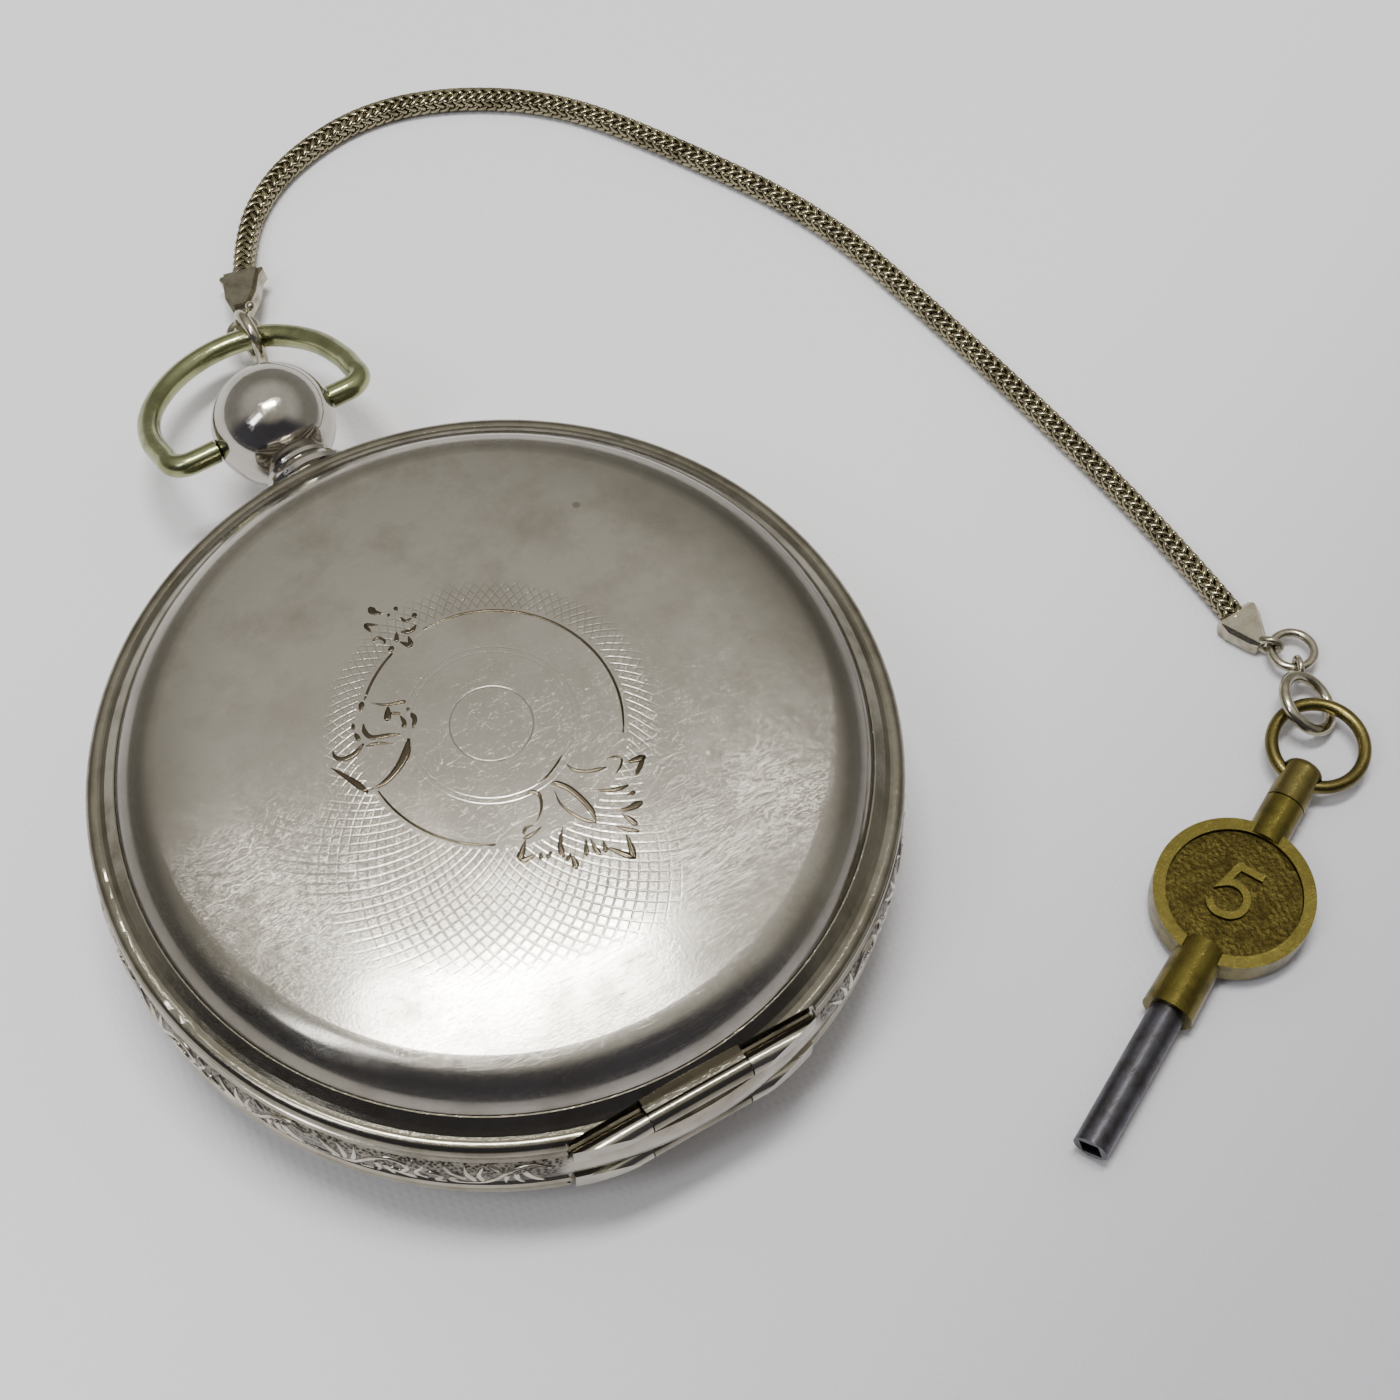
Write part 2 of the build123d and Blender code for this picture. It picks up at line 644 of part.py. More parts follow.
with BuildPart() as barrel:
    with BuildSketch(Plane.XY.offset(z(-2.9))):
        with BuildLine():
            Polyline(*teeth_outline(barrel_teeth, barrel_module, barrel_phase, barrel_at), close=True)
        make_face()
    extrude(amount=0.6)
    with BuildSketch(Plane.XY.offset(z(-3.3))):
        with Locations(barrel_at):
            Circle(9.1)
    extrude(amount=2.3)
    with BuildSketch(Plane.XY.offset(z(-2.6))):
        with Locations(barrel_at):
            Circle(8.6)
    extrude(amount=1.3, mode=Mode.SUBTRACT)
    with BuildSketch(Plane.XY.offset(z(-4))):
        with Locations(barrel_at):
            Circle(1.1 + running)
    extrude(amount=4, mode=Mode.SUBTRACT)
save(barrel.part, "barrel")

with BuildPart() as mainspring:
    with BuildSketch(Plane.XY.offset(z(-2.5))):
        with BuildLine():
            Polyline(*spiral(barrel_at, 8.4, 5.0, 20, 0.18), close=True)
        make_face()
    extrude(amount=1.1)
save(mainspring.part, "mainspring")

with BuildPart() as winding_arbor:
    add(arbor(barrel_at, [
        (0.8, z(-0.9), z(1.3)), (1.6, z(-2.5), z(-1.4)), (1.1, z(-5.4), z(-0.9)),
    ]))
    # the saw-toothed ratchet under the key's square
    with BuildSketch(Plane.XY.offset(z(-5.25))):
        with BuildLine():
            ratchet = []
            for k in range(24):
                for radius, share in ((3.3, 0.0), (2.75, 0.08)):
                    x, y = polar(radius, (k + share) * 15)
                    ratchet.append((barrel_at[0] + x, barrel_at[1] + y))
            Polyline(*ratchet, close=True)
        make_face()
    extrude(amount=0.4)
    with BuildSketch(Plane.XY.offset(z(-7.3))):
        with Locations(barrel_at):
            Rectangle(1.4, 1.4, rotation=20)
    extrude(amount=2.0)
save(winding_arbor.part, "winding_arbor")

click_at = (barrel_at[0] + 5.4, barrel_at[1] - 1.6)
with BuildPart() as click:
    with BuildSketch(Plane.XY.offset(z(-5.25))):
        with Locations(click_at):
            Circle(0.85)
        with BuildLine():
            Polyline(
                (click_at[0] - 0.7, click_at[1] + 0.4), (barrel_at[0] + 3.42, barrel_at[1] + 0.5),
                (barrel_at[0] + 3.6, barrel_at[1] + 0.95), (click_at[0] + 0.6, click_at[1] + 0.6), close=True,
            )
        make_face()
        with Locations(click_at):
            Circle(0.35 + fit, mode=Mode.SUBTRACT)
    extrude(amount=0.4)
save(click.part, "click")
with BuildPart() as click_screw:
    with BuildSketch(Plane.XY.offset(z(-5.65))):
        with Locations(click_at):
            Circle(0.7)
    extrude(amount=0.35)
    with BuildSketch(Plane.XY.offset(z(-5.3))):
        with Locations(click_at):
            Circle(0.35)
    extrude(amount=0.5)
save(click_screw.part, "click_screw")

with BuildPart() as centre_wheel:
    add(wheel((0, 0), centre_teeth, centre_module, centre_phase, z(-0.75), 0.35, 0))
    add(arbor((0, 0), [(0.45, z(-4.6), z(-3.4)), (0.5, z(-0.5), z(4.6))]))
    with BuildSketch(Plane.XY.offset(z(-3.4))):
        with BuildLine():
            Polyline(
                *teeth_outline(centre_leaves, barrel_module, centre_phase, (0, 0), width=0.34, high=0.9),
                close=True,
            )
        make_face()
    extrude(amount=2.7)
save(centre_wheel.part, "centre_wheel")

with BuildPart() as third_wheel:
    add(wheel(third_at, third_teeth, third_module, third_phase, z(-1.85), 0.3, 0, hub=1.0))
    add(arbor(third_at, [
        (pivot, z(-4.5), z(1.3)), (0.45, z(-3.5), z(-0.3)),
    ]))
    with BuildSketch(Plane.XY.offset(z(-1.9))):
        with BuildLine():
            Polyline(
                *teeth_outline(
                    third_leaves, centre_module, third_pinion_phase, third_at, width=0.34, high=0.9
                ),
                close=True,
            )
        make_face()
    extrude(amount=1.5)
save(third_wheel.part, "third_wheel")

with BuildPart() as fourth_wheel:
    add(wheel(fourth_at, fourth_teeth, fourth_module, fourth_phase, z(-2.95), 0.3, 0, hub=0.9, rim=0.5))
    add(arbor(fourth_at, [
        (pivot, z(-4.5), z(3.05)), (0.35, z(-3.5), z(-0.3)),
    ]))
    with BuildSketch(Plane.XY.offset(z(-2.3))):
        with BuildLine():
            Polyline(
                *teeth_outline(
                    fourth_leaves, third_module, fourth_pinion_phase, fourth_at, width=0.34, high=0.9
                ),
                close=True,
            )
        make_face()
    extrude(amount=1.2)
save(fourth_wheel.part, "fourth_wheel")

escape_teeth, escape_radius = 15, 3.9
with BuildPart() as escape_wheel:
    with BuildSketch(Plane.XY.offset(z(-1.5))):
        with BuildLine():
            outline = []
            for k in range(escape_teeth):
                for radius, share in ((3.05, 0.0), (escape_radius, 0.22), (escape_radius, 0.3), (3.05, 0.42)):
                    x, y = polar(radius, (k + share) * 24)
                    outline.append((escape_at[0] + x, escape_at[1] + y))
            Polyline(*outline, close=True)
        make_face()
        for k in range(4):
            turn = 90 * k + 45
            with BuildLine():
                Polyline(*window(escape_at, 0.9, 2.6, turn - 38, turn + 38), close=True)
            make_face(mode=Mode.SUBTRACT)
    extrude(amount=0.35)
    add(arbor(escape_at, [(pivot, z(-4.5), z(1.0)), (0.3, z(-3.5), z(-0.3))]))
    with BuildSketch(Plane.XY.offset(z(-3.3))):
        with BuildLine():
            Polyline(
                *teeth_outline(
                    escape_leaves, fourth_module, escape_pinion_phase, escape_at, width=0.34, high=0.9
                ),
                close=True,
            )
        make_face()
    extrude(amount=1.2)
save(escape_wheel.part, "escape_wheel")

# ---- pallet fork, balance and its cock -------------------------------------------------------
to_escape_wheel = to_balance + 180


def around(at, along, across, direction):
    """A point from its distances along and across a direction."""
    a = radians(direction)
    return (at[0] + along * cos(a) - across * sin(a), at[1] + along * sin(a) + across * cos(a))


with BuildPart() as pallet_fork:
    with BuildSketch(Plane.XY.offset(z(-1.5))):
        with BuildLine():
            Polyline(*[around(pallet_at, u, v, to_balance) for u, v in (
                (-1.5, 2.85), (-0.9, 3.3), (0.9, 0.7), (4.2, 0.35), (4.7, 0.75), (5.0, 0.7), (4.75, 0.3),
                (4.35, 0.22), (4.35, -0.22), (4.75, -0.3), (5.0, -0.7), (4.7, -0.75), (4.2, -0.35),
                (0.9, -0.7), (-0.9, -3.3), (-1.5, -2.85), (-0.35, -0.5), (-0.35, 0.5),
            )], close=True)
        make_face()
    extrude(amount=0.35)
    add(arbor(pallet_at, [(pivot, z(-4.4), z(0.8)), (0.4, z(-3.4), z(-0.3))]))
save(pallet_fork.part, "pallet_fork")

with BuildPart() as balance_wheel:
    with BuildSketch(Plane.XY.offset(z(-6.1))):
        with Locations(balance_at):
            Circle(7.9)
            Circle(7.1, mode=Mode.SUBTRACT)
            Rectangle(15.0, 0.9, rotation=70)
            Circle(1.1)
    extrude(amount=0.8)
    with BuildSketch(Plane.XY.offset(z(-5.75))):
        with Locations(balance_at):
            Circle(7.05)
            Circle(1.1, mode=Mode.SUBTRACT)
    extrude(amount=1.0, mode=Mode.SUBTRACT)
    for k in range(14):
        angle = k * 360 / 14 + 8
        x, y = polar(8.05, angle)
        with Locations(Location((balance_at[0] + x, balance_at[1] + y, z(-5.65)), (0, 90, angle))):
            Cylinder(0.36, 0.7)
    add(arbor(balance_at, [
        (pivot, z(-7.15), z(0.8)), (0.5, z(-6.65), z(-0.4)), (1.0, z(-2.6), z(-1.9)),
        (1.1, z(-6.6), z(-6.0)),
    ]))
    add(arbor(around(balance_at, -0.85, 0, to_balance), [(0.12, z(-2.0), z(-1.0))]))
save(balance_wheel.part, "balance_wheel")

with BuildPart() as hairspring:
    with BuildSketch(Plane.XY.offset(z(-6.6))):
        with BuildLine():
            Polyline(*spiral(balance_at, 1.2, 3.9, 14, 0.07), close=True)
        make_face()
    extrude(amount=0.25)
save(hairspring.part, "hairspring")

cock_foot = around(balance_at, 10.3, 0, 100)
with BuildPart() as balance_cock:
    with BuildSketch(Plane.XY.offset(z(-7.2))):
        with Locations(balance_at):
            Circle(3.0)
        with BuildLine():
            Polyline(*[around(balance_at, u, v, 100) for u, v in (
                (0, 2.6), (5.0, 1.7), (8.6, 2.2), (12.0, 2.2), (12.0, -2.2), (8.6, -2.2), (5.0, -1.7), (0, -2.6),
            )], close=True)
        make_face()
        with Locations(balance_at):
            Circle(pivot + running, mode=Mode.SUBTRACT)
    extrude(amount=0.4)
    with BuildSketch(Plane.XY.offset(z(-7.2))):
        with BuildLine():
            Polyline(*[around(balance_at, u, v, 100) for u, v in (
                (8.75, 2.2), (12.0, 2.2), (12.0, -2.2), (8.75, -2.2),
            )], close=True)
        make_face()
    extrude(amount=7.2 + top_low)
    with BuildSketch(Plane.XY.offset(z(-7.6))):
        with Locations(cock_foot):
            Circle(0.5)
    extrude(amount=4, mode=Mode.SUBTRACT)
save(balance_cock.part, "balance_cock")
with BuildPart() as cock_screw:
    with BuildSketch(Plane.XY.offset(z(-7.2))):
        with Locations(cock_foot):
            Circle(0.5)
    extrude(amount=7.2 + top_low)
    with BuildSketch(Plane.XY.offset(z(-7.4))):
        with Locations(cock_foot):
            Circle(0.9)
    extrude(amount=0.2)
save(cock_screw.part, "cock_screw")

# ---- motion work under the dial --------------------------------------------------------------
cannon_leaves, minute_teeth, minute_module = 12, 36, 0.125
minute_leaves, hour_teeth, hour_module = 10, 40, 0.12
minute_phase = meshing_phase(0.0, cannon_leaves, minute_teeth, 150.0)
minute_pinion_phase = 0.0
hour_phase = meshing_phase(minute_pinion_phase, minute_leaves, hour_teeth, 330.0)
with BuildPart() as cannon_pinion:
    with BuildSketch(Plane.XY.offset(z(0.75))):
        with BuildLine():
            Polyline(
                *teeth_outline(cannon_leaves, minute_module, 0.0, (0, 0), width=0.34, high=0.85), close=True
            )
        make_face()
        Circle(0.5, mode=Mode.SUBTRACT)
    extrude(amount=0.4)
    with BuildSketch(Plane.XY.offset(z(1.1))):
        Circle(0.6)
        Circle(0.5, mode=Mode.SUBTRACT)
    extrude(amount=2.95)
save(cannon_pinion.part, "cannon_pinion")
with BuildPart() as minute_wheel:
    add(wheel(minute_at, minute_teeth, minute_module, minute_phase, z(0.75), 0.3, 0, spokes=0))
    with BuildSketch(Plane.XY.offset(z(1.05))):
        with BuildLine():
            Polyline(
                *teeth_outline(
                    minute_leaves, hour_module, minute_pinion_phase, minute_at, width=0.34, high=0.85
                ),
                close=True,
            )
        make_face()
    extrude(amount=0.8)
    with BuildSketch(Plane.XY.offset(z(0.7))):
        with Locations(minute_at):
            Circle(0.3 + fit)
    extrude(amount=1.3, mode=Mode.SUBTRACT)
save(minute_wheel.part, "minute_wheel")
save(arbor(minute_at, [(0.3, z(0.6), z(1.85))]), "minute_post")
with BuildPart() as hour_wheel:
    add(wheel((0, 0), hour_teeth, hour_module, hour_phase, z(1.3), 0.35, 0, spokes=0))
    with BuildSketch(Plane.XY.offset(z(1.3))):
        Circle(1.2)
    extrude(amount=2.2)
    with BuildSketch(Plane.XY.offset(z(1))):
        Circle(0.6 + running)
    extrude(amount=4, mode=Mode.SUBTRACT)
save(hour_wheel.part, "hour_wheel")

# ---- fob chain: clasp ring, clip, woven chain, clip, rings --------------------------------------


def point_on_bow(x, y):
    """A point of the bow's own plane in the part's frame."""
    return Vector(x, ball_y + y * cos(tilt), z(0) - y * sin(tilt))


def ring(centre, normal, radius, wire):
    """A plain wire ring."""
    return Plane(origin=centre, z_dir=normal) * Torus(radius, wire, mode=Mode.PRIVATE)


on_wire = point_on_bow(3.0, 12.25)
clasp_at = on_wire + Vector(0, 0.22, -0.27)
clasp_radius, clasp_wire = 1.95, 0.45
outward = Vector(0, 0.85, -0.527).normalized()
eye_at = clasp_at + outward * (clasp_radius + 0.2) + Vector(0.05, 0, 0)
chain_height = 0.95
route = [
    (7.02, 56.45), (9.9, 60.0), (14.6, 62.7), (21.6, 63.9), (28.8, 61.9), (36.3, 56.8), (41.9, 48.4),
    (48.7, 36.2), (51.3, 24.5), (54.4, 6.5), (55.75, -5.4), (56.0, -11.4),
]
lead = (Vector(route[0][0], route[0][1], chain_height) - eye_at).normalized()
eye_normal = (Vector(0, 0.527, 0.85) - lead * lead.dot(Vector(0, 0.527, 0.85))).normalized()
clip_start, clip_end = 1.7, 6.4
clip_thick = 1.7
chain_points = [eye_at + lead * clip_end] + [Vector(x, y, chain_height) for x, y in route]
save(ring(clasp_at, (1, 0, 0), clasp_radius, clasp_wire), "clasp_ring")

with BuildPart() as bow_clip:
    add(ring(eye_at, eye_normal, 1.05, 0.3))
    # a folded plate: a narrow neck at the eye, flaring to two ears that close on the chain
    with BuildSketch(Plane(origin=eye_at, x_dir=lead, z_dir=eye_normal)):
        with BuildLine():
            Polyline(
                (1.0, 0.55), (clip_start, 0.6), (3.6, 1.3), (clip_end - 0.9, 1.5), (clip_end - 0.3, 1.85),
                (clip_end, 1.75), (clip_end, -1.75), (clip_end - 0.3, -1.85), (clip_end - 0.9, -1.5),
                (3.6, -1.3), (clip_start, -0.6), (1.0, -0.55), close=True,
            )
        make_face()
    extrude(amount=clip_thick / 2 - 0.3, both=True)
    with BuildSketch(Plane(origin=eye_at, x_dir=lead, z_dir=eye_normal)):
        with BuildLine():
            Polyline(
                (2.2, 0.5), (3.7, 1.0), (clip_end - 0.6, 1.3), (clip_end - 0.1, 1.4),
                (clip_end - 0.1, -1.4), (clip_end - 0.6, -1.3), (3.7, -1.0), (2.2, -0.5), close=True,
            )
        make_face()
    extrude(amount=clip_thick / 2, both=True)
save(bow_clip.part, "bow_clip")

corner_radii = []
for before, corner, after in zip(chain_points, chain_points[1:], chain_points[2:]):
    turn = (corner - before).get_angle(after - corner)
    shorter = min((corner - before).length, (after - corner).length)
    corner_radii.append(0.45 * shorter / tan(radians(turn) / 2))
print("chain corner radii", [round(r, 1) for r in corner_radii])
with BuildPart() as fob_chain:
    with BuildLine() as chain_line:
        FilletPolyline(*chain_points, radius=corner_radii)
    with BuildSketch(Plane(origin=chain_points[0], z_dir=lead)):
        Circle(chain_radius)
    sweep(transition=Transition.ROUND)
chain_length = sum(edge.length for edge in chain_line.edges())
chain_share = fob_chain.part.volume / (pi * chain_radius**2 * chain_length)
print("chain length", round(chain_length, 2), "volume share", round(chain_share, 4))
save(fob_chain.part, "fob_chain")

last_run = (chain_points[-1] - chain_points[-2]).normalized()
clip_length = 3.1
clip_tail = chain_points[-1] + last_run * clip_length
key_height = 2.0
key_way = Vector(cos(radians(key_angle)), sin(radians(key_angle)), 0)
head_top = Vector(52.6, -24.9, key_height)
hole_at = head_top + key_way * 1.3
key_ring_radius = 3.4
key_ring_at = hole_at - key_way * key_ring_radius
jump_at = Vector(57.85, -16.35, 1.4)
jump_radius = 1.6
to_jump = Vector(jump_at.X - clip_tail.X, jump_at.Y - clip_tail.Y, 0).normalized()
to_key = Vector(key_ring_at.X - jump_at.X, key_ring_at.Y - jump_at.Y, 0).normalized()
clip_eye_at = Vector(jump_at.X, jump_at.Y, 1.25) - to_jump * (jump_radius + 0.1)
up = Vector(0, 0, 1)
with BuildPart() as key_clip:
    # the same plate folded the other way round, drawn to a point towards the rings
    with BuildSketch(Plane(origin=chain_points[-1], x_dir=last_run, z_dir=(0, 0, 1))):
        with BuildLine():
            Polyline(
                (0, 1.35), (0.5, 1.6), (1.3, 1.5), (clip_length - 0.2, 0.75), (clip_length + 0.3, 0.4),
                (clip_length + 0.3, -0.4), (clip_length - 0.2, -0.75), (1.3, -1.5), (0.5, -1.6), (0, -1.35),
                close=True,
            )
        make_face()
    extrude(amount=clip_thick / 2, both=True)
    fold = key_clip.edges().filter_by(GeomType.LINE).filter_by(lambda edge: edge.length > 0.9)
    chamfer([edge for edge in fold if abs((edge @ 0.5 - chain_points[-1]).dot(up)) > 0.4], 0.3)
    add(ring(clip_eye_at, to_jump.cross(up), 0.8, 0.28))
save(key_clip.part, "key_clip")
save(ring(jump_at, up - to_key * 0.12, jump_radius, 0.35), "jump_ring")
link_at = Vector(jump_at.X, jump_at.Y, 1.65) + to_key * (jump_radius + 0.1)
spring_ring_radius = 2.25
spring_ring_at = Vector(link_at.X, link_at.Y, 1.95) + to_key * (0.8 + spring_ring_radius)
lean = radians(33)
spring_normal = up * cos(lean) + up.cross(to_key) * sin(lean)
with BuildPart() as spring_ring:
    add(ring(spring_ring_at, spring_normal, spring_ring_radius, 0.45))
    add(ring(link_at, to_key.cross(up), 0.8, 0.25))
save(spring_ring.part, "spring_ring")
save(ring(key_ring_at, up, key_ring_radius, key_wire), "key_ring")

# ---- the key: a drilled head that swivels, a disc body with its size, a steel pipe --------------
neck_at, disc_at, socket_from, socket_to, key_length = 3.6, 12.1, 17.3, 22.3, 33.8
across_key = key_way.cross(up)


def key_plane(along):
    """The plane square to the key's axis, at a distance from the top of its head."""
    return Plane(origin=head_top + key_way * along, z_dir=key_way)


with BuildPart() as key_head:
    with BuildSketch(key_plane(0)):
        Circle(1.5)
    extrude(amount=neck_at - 0.1)
    fillet(key_head.edges().group_by(SortBy.LENGTH)[-1].sort_by_distance(head_top)[0], 0.6)
    with BuildSketch(key_plane(2.3)):
        Circle(0.75)
    extrude(amount=3, mode=Mode.SUBTRACT)
    with Locations(Plane(origin=hole_at, z_dir=across_key).location):
        Cylinder(0.85, 5, mode=Mode.SUBTRACT)
save(key_head.part, "key_head")

disc_plane = Plane(origin=head_top + key_way * disc_at, x_dir=-across_key, z_dir=(0, 0, 1))
with BuildPart() as key_body:
    with BuildSketch(key_plane(2.45)):
        Circle(0.7)
    extrude(amount=2)
    with BuildSketch(key_plane(neck_at)):
        Circle(1.5)
    extrude(amount=3.6)
    with BuildSketch(disc_plane.offset(-1.1)):
        Circle(5.8)
    extrude(amount=2.2)
    with BuildSketch(key_plane(disc_at + 4.5)):
        Circle(1.75)
    extrude(amount=socket_to - disc_at - 4.5, taper=-1.5)
    for low, high in ((0.75, 1.3), (-1.3, -0.75)):
        with BuildSketch(disc_plane.offset(low)):
            Circle(4.9)
        extrude(amount=high - low, mode=Mode.SUBTRACT)
    with BuildSketch(key_plane(19.0)):
        Circle(1.3)
    extrude(amount=4, mode=Mode.SUBTRACT)
    # the raised size number
    with BuildSketch(disc_plane.offset(0.7)):
        with BuildLine():
            Polyline((1.35, 2.0), (-0.55, 2.0), (-0.95, 0.35))
            ThreePointArc((-0.95, 0.35), (1.15, -0.75), (-0.15, -1.95))
            ThreePointArc((-0.15, -1.95), (-0.85, -1.85), (-1.25, -1.4))
        trace(line_width=0.55)
    extrude(amount=0.4)
save(key_body.part, "key_body")

with BuildPart() as key_pipe:
    with BuildSketch(key_plane(19.0)):
        Circle(1.3)
    extrude(amount=key_length - 19.0)
    with BuildSketch(key_plane(key_length - 7)):
        Rectangle(1.5, 1.5, rotation=20)
    extrude(amount=8, mode=Mode.SUBTRACT)
save(key_pipe.part, "key_pipe")
print("hole", hole_at, "across", across_key, "key way", key_way, "clasp", on_wire)
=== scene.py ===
# %% [markdown]
# # A key-wind pocket watch, its fob chain and its key
# The watch lies dial side up with its front cover shut. Coin silver case, a nickel silver bow, a
# woven silver chain, and a brass winding key with a steel pipe. The CAD parts are the fixed frame:
# this lesson gives them their real finishes and adds what is too fine for CAD, such as the cut
# ornament on the cover, the chased leaves round the band, the links of the chain and the dial's
# printing. Everything is in metres, in the frame of the CAD parts.

# %% Load the fixed frame
import math

import bmesh
import bpy
from mathutils import Matrix, Vector


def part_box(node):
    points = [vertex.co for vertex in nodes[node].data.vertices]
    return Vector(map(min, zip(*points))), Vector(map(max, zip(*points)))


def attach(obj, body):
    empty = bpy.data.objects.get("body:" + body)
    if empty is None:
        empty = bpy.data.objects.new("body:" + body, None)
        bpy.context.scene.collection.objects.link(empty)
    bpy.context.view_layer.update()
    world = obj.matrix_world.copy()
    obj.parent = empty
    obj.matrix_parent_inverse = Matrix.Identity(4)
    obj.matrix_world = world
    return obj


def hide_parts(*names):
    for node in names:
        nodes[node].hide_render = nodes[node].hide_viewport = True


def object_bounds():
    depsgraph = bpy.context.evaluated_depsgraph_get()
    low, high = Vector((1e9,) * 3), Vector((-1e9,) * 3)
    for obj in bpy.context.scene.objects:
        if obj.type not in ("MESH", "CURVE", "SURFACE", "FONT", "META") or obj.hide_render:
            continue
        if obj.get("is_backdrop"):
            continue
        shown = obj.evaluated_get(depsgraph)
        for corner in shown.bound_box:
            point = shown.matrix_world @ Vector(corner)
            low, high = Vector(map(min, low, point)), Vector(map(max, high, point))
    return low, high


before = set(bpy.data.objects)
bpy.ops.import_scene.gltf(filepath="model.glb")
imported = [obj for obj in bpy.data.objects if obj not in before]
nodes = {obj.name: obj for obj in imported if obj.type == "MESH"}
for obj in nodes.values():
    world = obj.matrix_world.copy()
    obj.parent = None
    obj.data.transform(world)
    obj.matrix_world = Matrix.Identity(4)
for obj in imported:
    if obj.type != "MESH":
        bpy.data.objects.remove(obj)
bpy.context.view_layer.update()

MM = 0.001

# %% [markdown]
# ## The camera
# A close view from above and to the left with a short telephoto lens, which keeps the round case
# nearly round. The camera is placed by the point that it stands at and the point that it looks at,
# because both are easy to change, and its matrix is worked out from the two.

# %% Camera
camera_at = Vector((-32.22, -78.91, 184.35)) * MM
looks_at = Vector((15.41, -1.2, 9.7)) * MM
forward = (looks_at - camera_at).normalized()
level = forward.cross(Vector((0, 0, 1))).normalized()
roll = math.radians(0.86)
right = level * math.cos(roll) + level.cross(forward) * math.sin(roll)
above = right.cross(forward)
turn = Matrix((right, above, -forward)).transposed().to_4x4()
camera = bpy.data.objects.new("camera", bpy.data.cameras.new("camera"))
bpy.context.scene.collection.objects.link(camera)
camera.matrix_world = Matrix.Translation(camera_at) @ turn
camera.data.lens, camera.data.sensor_width = 72.0, 36.0
camera.data.clip_start, camera.data.clip_end = 0.01, 20.0
bpy.context.scene.camera = camera
print("camera stands", round((camera_at - looks_at).length / MM), "mm away")

# %% [markdown]
# ## Helpers
# A material is a small network of nodes. One function adds a node, sets it and links it, so that
# each finish below reads as a list of what it is made of. Colours are written as sRGB hex values,
# as a paint chart gives them, and turned to the linear values that the renderer works in.

# %% Small helpers


def colour(hex_text):
    """A hex sRGB colour as linear RGBA."""
    parts = [int(hex_text[i:i + 2], 16) / 255 for i in (1, 3, 5)]
    linear = [c / 12.92 if c <= 0.04045 else ((c + 0.055) / 1.055) ** 2.4 for c in parts]
    return (*linear, 1.0)


def put(tree, kind, settings=None, inputs=None):
    """Adds a node: settings are its own fields, inputs are values or sockets to link."""
    made = tree.nodes.new(kind)
    for name, value in (settings or {}).items():
        setattr(made, name, value)
    for socket, value in (inputs or {}).items():
        if isinstance(value, bpy.types.NodeSocket):
            tree.links.new(value, made.inputs[socket])
        else:
            made.inputs[socket].default_value = value
    return made


def new_material(name):
    """An empty material with its shader and output, and the object's own coordinates."""
    material = bpy.data.materials.new(name)
    material.use_nodes = True
    tree = material.node_tree
    tree.nodes.clear()
    shader = put(tree, "ShaderNodeBsdfPrincipled")
    put(tree, "ShaderNodeOutputMaterial", inputs={"Surface": shader.outputs["BSDF"]})
    place = put(tree, "ShaderNodeTexCoord").outputs["Object"]
    return material, tree, shader, place


def maths(tree, operation, *values):
    """One sum on values or sockets."""
    made = put(tree, "ShaderNodeMath", {"operation": operation}, dict(enumerate(values)))
    return made.outputs[0]


def in_mm(tree, place, centre=(0.0, 0.0)):
    """A point's x, y and z in mm, x and y from a centre, and its distance from that centre."""
    xyz = put(tree, "ShaderNodeSeparateXYZ", inputs={"Vector": place})
    x, y, z = (maths(tree, "MULTIPLY", xyz.outputs[i], 1000.0) for i in range(3))
    if any(centre):
        x, y = (maths(tree, "SUBTRACT", value, middle) for value, middle in zip((x, y), centre))
    squares = maths(tree, "ADD", maths(tree, "MULTIPLY", x, x), maths(tree, "MULTIPLY", y, y))
    return x, y, z, maths(tree, "SQRT", squares)


def mesh_piece(name, points, faces, material, smooth=True):
    """A mesh object at the origin with its place in its mesh, and its faces turned outwards."""
    mesh = bpy.data.meshes.new(name)
    mesh.from_pydata([tuple(p) for p in points], [], faces)
    shape = bmesh.new()
    shape.from_mesh(mesh)
    bmesh.ops.remove_doubles(shape, verts=shape.verts, dist=1e-7)
    bmesh.ops.recalc_face_normals(shape, faces=shape.faces)
    for face in shape.faces:
        face.smooth = smooth
    shape.to_mesh(mesh)
    shape.free()
    mesh.materials.append(material)
    made = bpy.data.objects.new(name, mesh)
    bpy.context.scene.collection.objects.link(made)
    return made


def finish_of(node_name, material):
    """Gives a CAD piece its material."""
    for slot in nodes[node_name].material_slots:
        slot.material = material


def through(points, steps):
    """A smooth line through a few points, by Catmull and Rom's rule."""
    points = [Vector(p) for p in points]
    ends = [points[0] * 2 - points[1], *points, points[-1] * 2 - points[-2]]
    line = []
    for a, b, c, d in zip(ends, ends[1:], ends[2:], ends[3:]):
        for i in range(steps):
            t = i / steps
            line.append(0.5 * (2 * b + (c - a) * t + (2 * a - 5 * b + 4 * c - d) * t * t
                               + (3 * b - a - 3 * c + d) * t ** 3))
    return [*line, points[-1]]


def join(parts):
    """Joins (points, faces) lists into one."""
    points, faces = [], []
    for some_points, some_faces in parts:
        faces += [tuple(i + len(points) for i in face) for face in some_faces]
        points += some_points
    return points, faces


